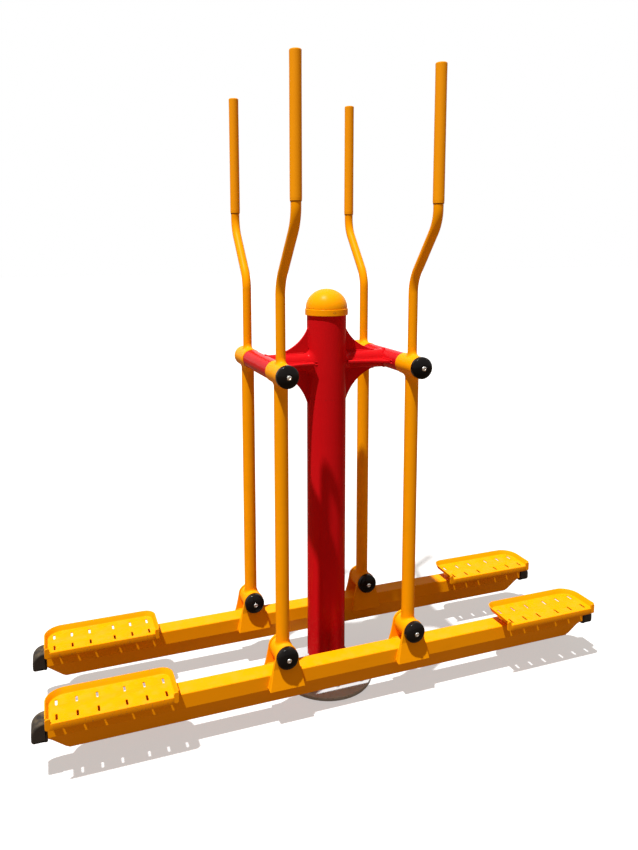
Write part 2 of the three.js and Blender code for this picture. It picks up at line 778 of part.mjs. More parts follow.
for (const [planeName, plane] of planes) {
  const carriage = new THREE.Group();
  carriage.position.set(0, plane * planeOffset, pivotHeight - pivotToPivot);
  part.add(carriage);
  piece(carriage, `beam_${planeName}`, beam(), yellowPaint);
  const treadTop = beamTop + treadAboveBeam;
  const pedalCentre = beamHalfLength - pedalSetback;
  for (const [sideName, side] of sides) {
    const label = `${planeName}_${sideName}`;
    const tray = side < 0 ? mirroredX(pedal()) : pedal();
    piece(carriage, `beam_nose_${label}`, beamNose(side), blackRubber);
    piece(carriage, `pedal_${label}`, at(tray, side * pedalCentre, 0, treadTop), yellowPaint);
    piece(carriage, `lower_axle_${label}`, at(axle(lowerAxleHalf), side * pivotOffset, 0, 0), bearingSteel);
    closeHub(carriage, `lower_${label}_outer`, side * pivotOffset, -lowerAxleHalf, 0, -1);
    closeHub(carriage, `lower_${label}_inner`, side * pivotOffset, lowerAxleHalf, 0, 1);
  }
}

export default part;
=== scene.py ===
# %% [markdown]
# # An outdoor air walker
#
# A round red post carries two long yellow beams. Each beam hangs from two parallel bars, so it
# swings to and fro and stays level, and the bars run on upwards as handles. A user stands on two
# pedals, one on the near end of each beam, and strides. Every size is in metres, with +Z up, X
# along the beams and the origin on the ground under the post.
#
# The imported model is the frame. It gives each piece its place and the body that it moves with.

# %% Load the frame
import json
import math
import bmesh
import bpy
import numpy as np
from mathutils import Matrix
from mathutils.geometry import tessellate_polygon

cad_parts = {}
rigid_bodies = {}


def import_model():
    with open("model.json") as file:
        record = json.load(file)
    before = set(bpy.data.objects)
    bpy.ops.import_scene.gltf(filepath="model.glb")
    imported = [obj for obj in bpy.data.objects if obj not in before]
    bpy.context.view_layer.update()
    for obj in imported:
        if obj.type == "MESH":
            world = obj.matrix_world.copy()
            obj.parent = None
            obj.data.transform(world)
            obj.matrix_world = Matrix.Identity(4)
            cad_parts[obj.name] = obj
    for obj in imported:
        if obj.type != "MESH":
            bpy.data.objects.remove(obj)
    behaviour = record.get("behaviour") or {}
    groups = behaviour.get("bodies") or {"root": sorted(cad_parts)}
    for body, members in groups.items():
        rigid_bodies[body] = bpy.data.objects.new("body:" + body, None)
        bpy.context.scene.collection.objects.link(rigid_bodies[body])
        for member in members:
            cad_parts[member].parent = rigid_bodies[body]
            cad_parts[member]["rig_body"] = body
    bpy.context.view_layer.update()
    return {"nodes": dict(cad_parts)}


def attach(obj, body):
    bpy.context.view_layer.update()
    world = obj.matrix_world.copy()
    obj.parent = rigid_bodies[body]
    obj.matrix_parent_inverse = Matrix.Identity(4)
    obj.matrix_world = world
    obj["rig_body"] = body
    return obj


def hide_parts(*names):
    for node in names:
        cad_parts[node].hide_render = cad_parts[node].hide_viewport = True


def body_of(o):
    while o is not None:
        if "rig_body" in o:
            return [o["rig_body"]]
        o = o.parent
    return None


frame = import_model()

mm = 0.001

# %% [markdown]
# ## The walker's main sizes
#
# The same few sizes place nearly every piece: where the pivots are, how far apart they are, and
# how thick the tubes are. Writing each of them once keeps the pieces in step with one another.

# %% Main sizes
pivot_height = 1090 * mm
pivot_to_pivot = 862 * mm
pivot_x = 216 * mm
plane_y = 175 * mm
lower_pivot_height = pivot_height - pivot_to_pivot
post_radius = 63.5 * mm
neck_radius = 58.5 * mm
cross_tube_radius = 31 * mm
arm_tube_radius = 30 * mm
sleeve_radius = 33 * mm
bar_radius = 21 * mm
handle_radius = 14.5 * mm
seat_gap = 0.3 * mm
planes = (("front", -1), ("back", 1))
sides = (("left", -1), ("right", 1))
quarters = [(f"{plane_name}_{side_name}", plane_name, plane, side)
            for plane_name, plane in planes for side_name, side in sides]
print("lower pivots at", round(lower_pivot_height, 4), "m above the ground")

# %% [markdown]
# ## Shells
#
# A piece is made of shells. A shell is three arrays: its points, its faces, and how worn each
# point is, from 0 on an open surface to 1 on an edge that hands and shoes rub. A grid of points
# becomes faces by joining each point to its neighbours in the next row and the next column.
# Working with whole arrays keeps this short and quick, and welding the points that fall on one
# another closes seams and poles.

# %% Grid, weld and outward helpers
def all_round(count):
    """Evenly spaced angles over a full turn, without the last one, which would repeat the first."""
    return np.linspace(0, 2 * math.pi, count, endpoint=False)


def grid_faces(rows, columns, wrap_rows=False, wrap_columns=True):
    """Four-sided faces over a grid: point (r, c) has the number r times columns plus c."""
    r, c = np.meshgrid(np.arange(rows if wrap_rows else rows - 1),
                       np.arange(columns if wrap_columns else columns - 1), indexing="ij")
    below, beside = (r + 1) % rows, (c + 1) % columns
    faces = np.stack([r * columns + c, r * columns + beside,
                      below * columns + beside, below * columns + c], -1)
    return [tuple(face) for face in faces.reshape(-1, 4).tolist()]


def welded(points, faces, worn):
    """Points that agree to a micrometre become one, and faces drop the corners that this doubles."""
    _, first, number = np.unique(np.round(points / 1e-6).astype(np.int64), axis=0,
                                 return_index=True, return_inverse=True)
    number = number.reshape(-1)
    faces = [tuple(dict.fromkeys(number[list(face)].tolist())) for face in faces]
    return points[first], [face for face in faces if len(face) > 2], worn[first]


def volume(points, faces):
    """Six times a shell's volume: the sum over its triangles of corner a dot (b cross c)."""
    fans = np.array([(face[0], face[k], face[k + 1])
                     for face in faces for k in range(1, len(face) - 1)])
    a, b, c = points[fans[:, 0]], points[fans[:, 1]], points[fans[:, 2]]
    return float((a * np.cross(b, c)).sum())


def closed_shell(points, faces, worn=None):
    """A welded shell whose faces point outwards: they are turned round where its volume is negative."""
    points = np.asarray(points, float).reshape(-1, 3)
    worn = np.zeros(len(points)) if worn is None else np.broadcast_to(worn, len(points)).astype(float)
    points, faces, worn = welded(points, faces, worn)
    if volume(points - points.mean(0), faces) < 0:
        faces = [face[::-1] for face in faces]
    return points, faces, worn


def mirrored(shell):
    """The shell seen in a mirror across X = 0: x changes sign, and so does each face's direction."""
    points, faces, worn = shell
    return points * np.array([-1.0, 1.0, 1.0]), [face[::-1] for face in faces], worn


def moved(shell, x=0.0, y=0.0, z=0.0):
    """The shell with the same step added to every point."""
    points, faces, worn = shell
    return points + np.array([x, y, z]), faces, worn


print("grid of 3 x 4 gives", len(grid_faces(3, 4)), "faces")

# %% [markdown]
# ## Rounded corners
#
# No edge of a welded and painted frame is perfectly sharp, and a rounded edge is what catches the
# light. A corner could be rounded with a Bevel modifier, but here the corner is rounded in the
# outline itself: an arc that touches both sides, with one more point a little way along each side.
# That guard point keeps the flat side's shading flat.

# %% Outlines with rounded corners
def rounded(corners, radii, steps=4, closed=True, guard=1.0 * mm):
    """Each corner becomes an arc: tangent length = radius times tan(turn / 2), and the arc's centre
    lies on the corner's inner side, one radius from both of its arms. Returns points and wear."""
    corners = np.asarray(corners, float)
    radii = np.broadcast_to(radii, len(corners))
    points, worn = [], []
    for k, corner in enumerate(corners):
        if radii[k] <= 0 or (not closed and k in (0, len(corners) - 1)):
            points.append(corner[None])
            worn.append([0.0])
            continue
        arrive = corner - corners[k - 1]
        leave = corners[(k + 1) % len(corners)] - corner
        arrive, leave = arrive / np.linalg.norm(arrive), leave / np.linalg.norm(leave)
        cross = arrive[0] * leave[1] - arrive[1] * leave[0]
        turn = math.atan2(cross, float(arrive @ leave))
        tangent = radii[k] * math.tan(abs(turn) / 2)
        inward = np.array([-arrive[1], arrive[0]]) * math.copysign(1, turn)
        centre = corner - arrive * tangent + inward * radii[k]
        angles = np.linspace(0, turn, steps + 1)
        start = -inward * radii[k]
        arc = centre + np.stack([start[0] * np.cos(angles) - start[1] * np.sin(angles),
                                 start[0] * np.sin(angles) + start[1] * np.cos(angles)], 1)
        points.append(np.vstack([arc[0] - arrive * guard, arc, arc[-1] + leave * guard]))
        worn.append([0.0] + [1.0] * (steps + 1) + [0.0])
    return np.vstack(points), np.concatenate(worn)


def curve(start, control, end, steps=12):
    """A curve from start to end that leaves and arrives along its control point:
    (1 - t) squared times start, plus 2 t (1 - t) times control, plus t squared times end."""
    t = np.linspace(0, 1, steps + 1)[:, None]
    start, control, end = np.array(start), np.array(control), np.array(end)
    return (1 - t) ** 2 * start + 2 * t * (1 - t) * control + t ** 2 * end


def ellipse(angle, across, up, base=0.0):
    """Points on an ellipse: across times the cosine, and base plus up times the sine."""
    return np.stack([across * np.cos(angle), base + up * np.sin(angle)], 1)


print("a rounded square has", len(rounded([(0, 0), (1, 0), (1, 1), (0, 1)], 0.1)[0]), "points")

# %% [markdown]
# ## Turned, carried and flat shells
#
# Three kinds of surface make nearly the whole walker. A turned shell is a profile carried round an
# axis, as on a lathe. A carried shell is a round section carried along a path, as a tube or a weld
# bead is. A plate is an outline carried up through its thickness, drawn in a little at top and
# bottom for its rounded edges, and closed by two flat faces in which the holes are left out.

# %% Turned shells
def turned(profile, worn, axis="z", at=(0, 0, 0), count=64, closed=True):
    """A profile of (radius, height) pairs round an axis: across = radius times the cosine and sine
    of the angle, along = height. A profile that starts and ends on the axis closes at its poles."""
    profile = np.asarray(profile, float)
    angle = all_round(count)
    u = profile[:, :1] * np.cos(angle)
    v = profile[:, :1] * np.sin(angle)
    h = np.repeat(profile[:, 1:], count, axis=1)
    points = np.stack({"z": (u, v, h), "y": (u, h, v), "x": (h, u, v)}[axis], -1) + np.array(at)
    faces = grid_faces(len(profile), count, wrap_rows=closed)
    return closed_shell(points, faces, np.repeat(np.asarray(worn, float), count))


def ring(outer, inner, low, high, edge=1.5 * mm, **place):
    """A turned pipe: its profile is a rectangle from the inner to the outer radius."""
    profile, worn = rounded([(inner, low), (outer, low), (outer, high), (inner, high)],
                            [0, edge, edge, 0], steps=3)
    return turned(profile, worn, **place)


# %% Carried shells
def carried(path, radius, side, count=32, ends=True):
    """A round section along a path: point = path + radius times (cos a times side + sin a times
    the path's direction cross side). The radius may change along the path."""
    path = np.asarray(path, float)
    side = np.broadcast_to(np.asarray(side, float), path.shape)
    along = np.gradient(path, axis=0) if ends else np.roll(path, -1, 0) - np.roll(path, 1, 0)
    along = along / np.linalg.norm(along, axis=1, keepdims=True)
    side = side - (side * along).sum(1, keepdims=True) * along
    side = side / np.linalg.norm(side, axis=1, keepdims=True)
    up = np.cross(along, side)
    angle = all_round(count)[None, :, None]
    radius = np.broadcast_to(radius, len(path))[:, None, None]
    points = path[:, None] + radius * (np.cos(angle) * side[:, None] + np.sin(angle) * up[:, None])
    faces = grid_faces(len(path), count, wrap_rows=not ends)
    if ends:
        last = (len(path) - 1) * count
        faces += [tuple(range(count)), tuple(range(last, last + count))]
    return closed_shell(points, faces)


def weld_bead(path, size=3.0 * mm, side=(0, 0, 1), ends=True, ripple=2.6 * mm):
    """A weld bead: a small round section whose radius swells by a tenth at each ripple, so it is
    size times (1 + 0.1 times the sine of 2 pi times the distance along the path over the ripple).
    Each ripple has four points, within limits of 8 and 420 for the whole bead, and an open bead
    tapers over two of its sizes at each end."""
    path = np.asarray(path, float)
    loop = path if ends else np.vstack([path, path[:1]])
    steps = np.linalg.norm(np.diff(loop, axis=0), axis=1)
    length = float(steps.sum())
    marks = np.concatenate([[0], np.cumsum(steps)])
    count = min(420, max(8, int(length / ripple * 4)))
    place = np.linspace(0, length, count, endpoint=ends)
    fine = np.stack([np.interp(place, marks, loop[:, k]) for k in range(3)], 1)
    swell = size * (1 + 0.1 * np.sin(2 * math.pi * place / ripple))
    if ends:
        taper = np.clip(np.minimum(place, length - place) / (2 * size), 0, 1)
        swell = swell * np.sqrt(np.clip(taper, 0.03, 1))
    return carried(fine, swell, side, count=10, ends=ends)


# %% Plates
def drawn_in(loop, by):
    """The loop with every point moved to its left by a distance: the step is the sum of the two
    neighbouring sides' left normals over one plus their dot product, times the distance."""
    leave = np.roll(loop, -1, 0) - loop
    leave = leave / np.linalg.norm(leave, axis=1, keepdims=True)
    arrive = np.roll(leave, 1, 0)
    left_a = np.stack([-arrive[:, 1], arrive[:, 0]], 1)
    left_b = np.stack([-leave[:, 1], leave[:, 0]], 1)
    return loop + by * (left_a + left_b) / (1 + (left_a * left_b).sum(1))[:, None].clip(0.3)


def plate(outline, thickness, edge=1.0 * mm, holes=(), place=lambda u, v, w: (u, v, w), steps=3):
    """A flat plate from w = 0 to its thickness. Each loop rises through quarter circles of the edge
    radius at bottom and top, and a last ring one guard further in keeps the flat faces flat.
    The outline runs anticlockwise and the holes run clockwise, so 'left' is always into the metal."""
    turn = np.linspace(0, math.pi / 2, steps + 1)
    rise = [(edge * (1 - math.sin(a)), edge * (1 - math.cos(a))) for a in turn]
    guard = edge + 0.6 * mm
    rings = [(guard, 0.0), *rise, *((inset, thickness - low) for inset, low in rise[::-1]),
             (guard, thickness)]
    wear = [0.0] + [1.0] * (len(rings) - 2) + [0.0]
    points, faces, worn, top, bottom, count = [], [], [], [], [], 0
    for loop in (outline, *holes):
        loop = np.asarray(loop, float)
        size = len(loop)
        for (inset, height), value in zip(rings, wear):
            flat = drawn_in(loop, inset)
            points.append(np.column_stack([flat, np.full(size, height)]))
            worn.append(np.full(size, value))
        faces += [tuple(k + count for k in face) for face in grid_faces(len(rings), size)]
        bottom.append((count, points[-len(rings)]))
        top.append((count + (len(rings) - 1) * size, points[-1]))
        count += len(rings) * size
    for level, flip in ((bottom, True), (top, False)):
        numbers = np.concatenate([start + np.arange(len(loop)) for start, loop in level])
        for face in tessellate_polygon([[tuple(p) for p in loop] for _, loop in level]):
            face = tuple(int(numbers[k]) for k in face)
            faces.append(face[::-1] if flip else face)
    points = np.vstack(points)
    points = np.stack(place(points[:, 0], points[:, 1], points[:, 2]), 1)
    return closed_shell(points, faces, np.concatenate(worn))


def standing(y_middle, thickness):
    """Stands a flat plate up in X and Z, with its thickness centred on a place along Y."""
    return lambda u, v, w: (u, y_middle + thickness / 2 - w, v)


print("turned, carried and flat shells are ready")

# %% [markdown]
# ## From shells to a piece
#
# Shells become one Blender mesh: their points and faces go in together, smooth shading is on, and
# edges sharper than a few dozen degrees stay crisp. The wear of each point goes into an attribute
# that the paint reads. The piece then stands for its CAD node and rides on that node's body.

# %% Make a piece
made_names = []


def piece(name, shells, material, replaces=(), body=None, crease=32):
    """Joins shells into one mesh object. It rides on the body of the first node it stands for."""
    points, faces, worn, count = [], [], [], 0
    for shell_points, shell_faces, shell_worn in shells:
        points.append(shell_points)
        worn.append(shell_worn)
        faces += [tuple(k + count for k in face) for face in shell_faces]
        count += len(shell_points)
    mesh = bpy.data.meshes.new(name)
    mesh.from_pydata(np.vstack(points).tolist(), [], faces)
    mesh.polygons.foreach_set("use_smooth", np.ones(len(mesh.polygons), bool))
    mesh.set_sharp_from_angle(angle=math.radians(crease))
    wear = mesh.attributes.new("worn", "FLOAT", "POINT")
    wear.data.foreach_set("value", np.concatenate(worn).astype(np.float32))
    mesh.materials.append(material)
    made = bpy.data.objects.new(name, mesh)
    bpy.context.collection.objects.link(made)
    replaces = [replaces] if isinstance(replaces, str) else list(replaces)
    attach(made, body or body_of(frame["nodes"][replaces[0]])[0])
    if replaces:
        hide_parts(*replaces)
    made_names.append(name)
    return made


# %% [markdown]
# ## Finishes
#
# The steel is powder coated: a smooth, slightly wavy skin with a clear gloss. Outdoors it gathers
# pale dust on whatever faces up, fine scratches where people hold and step, and bare patches on
# edges. Each of these is a mask made from noise in object coordinates, multiplied by a direction
# or by the wear attribute, and the masks mix colours and roughness. Nothing depends on the camera.

# %% Node helpers
def step(tree, kind, inputs=None, **settings):
    """Adds a node, sets it, and plugs in each input: a socket is linked and a number is set."""
    node = tree.nodes.new(kind)
    for key, value in settings.items():
        setattr(node, key, value)
    for key, value in (inputs or {}).items():
        if isinstance(value, bpy.types.NodeSocket):
            tree.links.new(value, node.inputs[key])
        else:
            node.inputs[key].default_value = value
    return node


def arithmetic(tree, operation, a, b):
    """Two values joined by an operation, with the result kept between 0 and 1."""
    return step(tree, "ShaderNodeMath", {0: a, 1: b}, operation=operation, use_clamp=True).outputs[0]


def product(tree, a, b):
    """One value times the other, kept between 0 and 1."""
    return arithmetic(tree, "MULTIPLY", a, b)


def spread(tree, value, low, high):
    """Values from low to high become 0 to 1, and those beyond are cut off."""
    return step(tree, "ShaderNodeMapRange", {"Value": value, "From Min": low, "From Max": high}).outputs[0]


def between(tree, value, first, last):
    """Values from 0 to 1 become first to last."""
    return step(tree, "ShaderNodeMapRange", {"Value": value, "To Min": first, "To Max": last}).outputs[0]


def noise(tree, place, scale, detail=4.0, stretch=(1, 1, 1), low=0.4, high=0.6):
    """Noise in object coordinates, spread so that values from low to high become 0 to 1."""
    mapped = step(tree, "ShaderNodeMapping", {"Vector": place, "Scale": stretch})
    texture = step(tree, "ShaderNodeTexNoise",
                   {"Vector": mapped.outputs[0], "Scale": scale, "Detail": detail})
    return spread(tree, texture.outputs[0], low, high)


def mix(tree, amount, first, second):
    """A colour mix: amount 0 gives the first colour and 1 the second."""
    node = tree.nodes.new("ShaderNodeMix")
    node.data_type = "RGBA"
    colours = [s for s in node.inputs if s.type == "RGBA"]
    for socket, value in ((node.inputs[0], amount), (colours[0], first), (colours[1], second)):
        if isinstance(value, bpy.types.NodeSocket):
            tree.links.new(value, socket)
        else:
            socket.default_value = value if socket is node.inputs[0] else (*value, 1.0)
    return [s for s in node.outputs if s.type == "RGBA"][0]


def finish_named(name):
    """A new material with its shader, its object coordinates and how much each point faces up."""
    material = bpy.data.materials.new(name)
    material.use_nodes = True
    tree = material.node_tree
    shader = tree.nodes["Principled BSDF"]
    coordinates = step(tree, "ShaderNodeTexCoord")
    upward = step(tree, "ShaderNodeSeparateXYZ", {0: coordinates.outputs["Normal"]}).outputs[2]
    return material, tree, shader, coordinates.outputs["Object"], upward


def bumped(tree, shader, height, strength, distance):
    """Lets a height between 0 and 1 tilt the surface, as a relief of that distance would."""
    bump = step(tree, "ShaderNodeBump", {"Height": height, "Strength": strength, "Distance": distance})
    tree.links.new(bump.outputs[0], shader.inputs["Normal"])


def worn_mask(tree):
    """How worn each point is, from the attribute that the shells carry."""
    return step(tree, "ShaderNodeAttribute", attribute_name="worn").outputs["Fac"]


# %% [markdown]
# ### Powder coat
#
# One function makes each coat. The colour drifts a little over long distances, because sun fades
# paint unevenly. Up-facing surfaces are paler too: painted top light, with some real sun fading.
# The orange-peel skin is noise with features of about two millimetres. Dust needs a surface that
# faces up, and chips need an edge. A coat near the ground also takes splashes.

# %% Powder coat
dust_colour = (0.55, 0.42, 0.24)


def powder_coat(name, colour, faded_and_sunlit, chipped, gloss=0.3, dust=0.25, scuff=0.15, splash=0.0, level=0.35):
    """Colour = coat, then drift, scuffs, dust and chips mixed in by their masks. Roughness = gloss
    plus a smear of up to 0.16 plus 0.6 times the dust. Splashes fade out 0.3 m above the ground."""
    material, tree, shader, place, upward = finish_named(name)
    drift = noise(tree, place, 3.2, low=0.35, high=0.7)
    tone = mix(tree, product(tree, drift, 0.35), colour, faded_and_sunlit)
    streaks = noise(tree, place, 26, detail=6, stretch=(0.35, 1, 1), low=0.52, high=0.74)
    tone = mix(tree, product(tree, streaks, scuff), tone, [c * 0.55 for c in colour])
    facing = spread(tree, upward, 0.6, 1.0)
    # Up-facing surfaces take the paler colour: painted top light, with some real sun fading.
    tone = mix(tree, product(tree, facing, 0.7), tone, faded_and_sunlit)
    settled = product(tree, noise(tree, place, 34, detail=8, low=0.46, high=0.72), facing)
    settled = product(tree, settled, dust)
    if splash:
        height = step(tree, "ShaderNodeSeparateXYZ", {0: place}).outputs[2]
        near_ground = spread(tree, height, 0.3, 0.0)
        spots = noise(tree, place, 90, detail=3, low=0.5, high=0.62)
        splashed = product(tree, near_ground, product(tree, spots, splash))
        settled = arithmetic(tree, "ADD", settled, splashed)
    tone = mix(tree, settled, tone, dust_colour)
    chips = product(tree, noise(tree, place, 210, detail=5, low=0.58, high=0.63), worn_mask(tree))
    tone = mix(tree, product(tree, chips, 0.6), tone, chipped)
    tree.links.new(tone, shader.inputs["Base Color"])
    smear = noise(tree, place, 14, detail=7, low=0.3, high=0.75)
    rough = between(tree, smear, gloss, gloss + 0.16)
    tree.links.new(arithmetic(tree, "ADD", rough, product(tree, settled, 0.6)), shader.inputs["Roughness"])
    shader.inputs["Specular IOR Level"].default_value = level
    peel = noise(tree, place, 420, detail=2, low=0.2, high=0.8)
    bumped(tree, shader, peel, 0.16, 0.25 * mm)
    return material


yellow_coat = powder_coat(
    "yellow_powder_coat", colour=(0.93, 0.340, 0.001), faded_and_sunlit=(0.96, 0.37, 0.001),
    chipped=(0.30, 0.12, 0.03), dust=0.06, scuff=0.12, level=0.04)
red_coat = powder_coat(
    "red_powder_coat", colour=(0.54, 0.005, 0.008), faded_and_sunlit=(0.60, 0.009, 0.012),
    chipped=(0.16, 0.03, 0.03), gloss=0.1, dust=0.02, scuff=0.06, splash=0.04, level=0.03)
tread_coat = powder_coat(
    "tread_powder_coat", colour=(0.93, 0.33, 0.001), faded_and_sunlit=(0.96, 0.37, 0.001),
    chipped=(0.33, 0.14, 0.04), gloss=0.36, dust=0.06, scuff=0.2, level=0.04)
grey_coat = powder_coat(
    "grey_zinc_coat", colour=(0.48, 0.51, 0.54), faded_and_sunlit=(0.50, 0.53, 0.55),
    chipped=(0.34, 0.30, 0.26), gloss=0.5, dust=0.1, scuff=0.12, splash=0.1, level=0.2)
print("powder coats:", yellow_coat.name, red_coat.name, tread_coat.name, grey_coat.name)

# %% [markdown]
# ### Plastic, rubber and steel
#
# The post's cap is moulded plastic with a fine spark-eroded grain and a soft sheen. The hubs'
# domes are glossy black plastic with hairline scratches. The beams' noses are black rubber gone
# grey with dust. The grips are orange-yellow rubber with a fine pebble grain. The steel parts show
# the fine lines that their turning left.

# %% Moulded plastic and rubber
def moulded(name, colour, pale, rough, grain, relief, dust=0.2, level=0.35, scratch=0.0):
    """A moulded skin: its grain is noise of that scale raised by the relief, and scratches are long
    thin lines cut into it. Roughness = rough plus a smear of up to 0.14 plus 0.8 times the dust."""
    material, tree, shader, place, upward = finish_named(name)
    cloud = noise(tree, place, 9, detail=5, low=0.35, high=0.7)
    tone = mix(tree, product(tree, cloud, 0.4), colour, pale)
    facing = spread(tree, upward, 0.2, 1.0)
    settled = product(tree, noise(tree, place, 60, detail=8, low=0.42, high=0.7), facing)
    settled = product(tree, settled, dust)
    tone = mix(tree, settled, tone, dust_colour)
    rubbed = product(tree, noise(tree, place, 120, detail=4, low=0.45, high=0.6), worn_mask(tree))
    tone = mix(tree, product(tree, rubbed, 0.35), tone, pale)
    tree.links.new(tone, shader.inputs["Base Color"])
    smear = noise(tree, place, 30, detail=6, low=0.3, high=0.75)
    film = between(tree, smear, rough, rough + 0.14)
    tree.links.new(arithmetic(tree, "ADD", film, product(tree, settled, 0.8)), shader.inputs["Roughness"])
    shader.inputs["Specular IOR Level"].default_value = level
    height = noise(tree, place, grain, detail=3, low=0.25, high=0.75)
    if scratch:
        lines = noise(tree, place, 160, detail=2, stretch=(0.06, 1, 1), low=0.62, high=0.66)
        height = arithmetic(tree, "SUBTRACT", height, product(tree, lines, scratch))
    bumped(tree, shader, height, 0.25, relief)
    return material


cap_plastic = moulded(
    "cap_plastic", colour=(0.93, 0.35, 0.001), pale=(0.96, 0.40, 0.002),
    rough=0.2, grain=900, relief=0.12 * mm, dust=0.03, level=0.06)
hub_plastic = moulded(
    "hub_cap_plastic", colour=(0.006, 0.005, 0.005), pale=(0.02, 0.018, 0.016),
    rough=0.14, grain=500, relief=0.04 * mm, dust=0.02, level=0.07, scratch=0.5)
nose_rubber = moulded(
    "nose_rubber", colour=(0.012, 0.009, 0.007), pale=(0.035, 0.026, 0.018),
    rough=0.62, grain=350, relief=0.3 * mm, dust=0.3, level=0.3)
grip_rubber = moulded(
    "grip_rubber", colour=(0.93, 0.35, 0.001), pale=(0.96, 0.38, 0.002),
    rough=0.55, grain=620, relief=0.25 * mm, dust=0.05, level=0.1)
# A dark rubber for the grips' lower edge: glue, with painted shadow under the grip's lip.
seam_glue_and_shade = moulded(
    "seam_glue_and_shade", colour=(0.10, 0.035, 0.004), pale=(0.16, 0.06, 0.01),
    rough=0.7, grain=400, relief=0.2 * mm, dust=0.0)


# %% Bare, black and zinc-coated steel
def turned_steel(name, colour, dull, rough, scale, relief=0.03 * mm):
    """Steel: fine noise lines from the tool, darker spots, and a rougher film in patches."""
    material, tree, shader, place, _ = finish_named(name)
    lines = noise(tree, place, scale, detail=3, stretch=(1, 0.08, 1), low=0.35, high=0.65)
    spots = noise(tree, place, 160, detail=5, low=0.52, high=0.7)
    tone = mix(tree, product(tree, spots, 0.6), colour, dull)
    tree.links.new(tone, shader.inputs["Base Color"])
    tree.links.new(between(tree, spots, rough, rough + 0.25), shader.inputs["Roughness"])
    shader.inputs["Metallic"].default_value = 1.0
    bumped(tree, shader, lines, 0.3, relief)
    return material


stainless_steel = turned_steel("stainless_steel", colour=(0.58, 0.56, 0.52), dull=(0.34, 0.31, 0.27),
                               rough=0.26, scale=900)
bearing_steel = turned_steel("bearing_steel", colour=(0.42, 0.43, 0.45), dull=(0.16, 0.13, 0.10),
                             rough=0.3, scale=500)
black_steel = turned_steel("black_oxide_steel", colour=(0.03, 0.028, 0.027), dull=(0.06, 0.035, 0.02),
                           rough=0.42, scale=500)
zinc_steel = turned_steel("zinc_coated_steel", colour=(0.44, 0.44, 0.42), dull=(0.24, 0.22, 0.19),
                          rough=0.38, scale=300, relief=0.06 * mm)
print("plastics, rubbers and steels made")

# %% [markdown]
# ## The post and its foot
#
# The post is a steel tube 127 mm across on a round grey flange with four ribs and four anchor
# bolts. Its top is drawn in, so the head's sleeve slips over it and lies flush with the tube below.
# A tube could be a cylinder primitive with a Solidify modifier. Turning its profile gives both
# walls, both ends and the step at once, and the same function serves every round part.

# %% Post
base_thickness = 12 * mm
base_radius = 155 * mm
post_top = pivot_height + 166 * mm
head_top, head_bottom = pivot_height + 151 * mm, pivot_height - 118 * mm
wall = 4 * mm
foot_level, shoulder_level = base_thickness + seat_gap, head_bottom - seat_gap / 2
post_line, post_worn = rounded(
    [(post_radius - wall, foot_level), (post_radius, foot_level), (post_radius, shoulder_level),
     (neck_radius, shoulder_level), (neck_radius, post_top), (neck_radius - wall, post_top),
     (neck_radius - wall, head_bottom), (post_radius - wall, head_bottom - 5 * mm)],
    [0, 1 * mm, 0.2 * mm, 0, 1 * mm, 1 * mm, 0, 0], guard=0.2 * mm)
piece("post_tube", [turned(post_line, post_worn, count=96)], red_coat, replaces="post")
print("post top at", round(post_top, 3), "m")

# %% [markdown]
# The flange is a plate with a round outline and four round holes. Ribs stand on it in a cross and
# weld beads run along their feet and round the foot of the post.

# %% Flange, ribs and welds
def circle(radius, count=96, centre=(0.0, 0.0), clockwise=False):
    """Points on a circle: centre plus radius times the cosine and sine of the angle."""
    angle = all_round(count) * (-1 if clockwise else 1)
    return np.stack([centre[0] + radius * np.cos(angle), centre[1] + radius * np.sin(angle)], 1)


def spun(shell, angle):
    """The shell turned about the Z axis: x becomes x times the cosine minus y times the sine, and y
    becomes x times the sine plus y times the cosine."""
    points, faces, worn = shell
    c, s = math.cos(angle), math.sin(angle)
    return points @ np.array([[c, s, 0], [-s, c, 0], [0, 0, 1]]), faces, worn


bolt_circle, hole_radius = 125 * mm, 9 * mm
bolt_places = [(bolt_circle * math.cos(a), bolt_circle * math.sin(a))
               for a in np.radians([45, 135, 225, 315])]
bolt_holes = [circle(hole_radius, 32, place, clockwise=True) for place in bolt_places]
foot_parts = [plate(circle(base_radius), base_thickness, 1.5 * mm, bolt_holes)]

rib_start, rib_end, rib_thickness = post_radius + seat_gap, base_radius - 50 * mm, 8 * mm
rib_foot, rib_toe, rib_top = base_thickness - 1 * mm, base_thickness + 12 * mm, base_thickness + 70 * mm
rib_line, _ = rounded([(rib_start, rib_foot), (rib_end, rib_foot), (rib_end, rib_toe),
                       (rib_start + 8 * mm, rib_top), (rib_start, rib_top)],
                      [0, 0, 5 * mm, 4 * mm, 0])
rib = plate(rib_line, rib_thickness, 1 * mm, place=standing(0, rib_thickness))
rib_beads = [weld_bead([(rib_start, y, base_thickness), (rib_end, y, base_thickness)], 2.6 * mm)
             for y in (-4.5 * mm, 4.5 * mm)]
for quarter in range(4):
    foot_parts += [spun(shell, quarter * math.pi / 2) for shell in (rib, *rib_beads)]
foot_circle = np.column_stack([circle(post_radius + 1.6 * mm, 120), np.full(120, base_thickness)])
foot_parts.append(weld_bead(foot_circle, 3 * mm, ends=False))
piece("base_flange", foot_parts, grey_coat, replaces="base_plate")

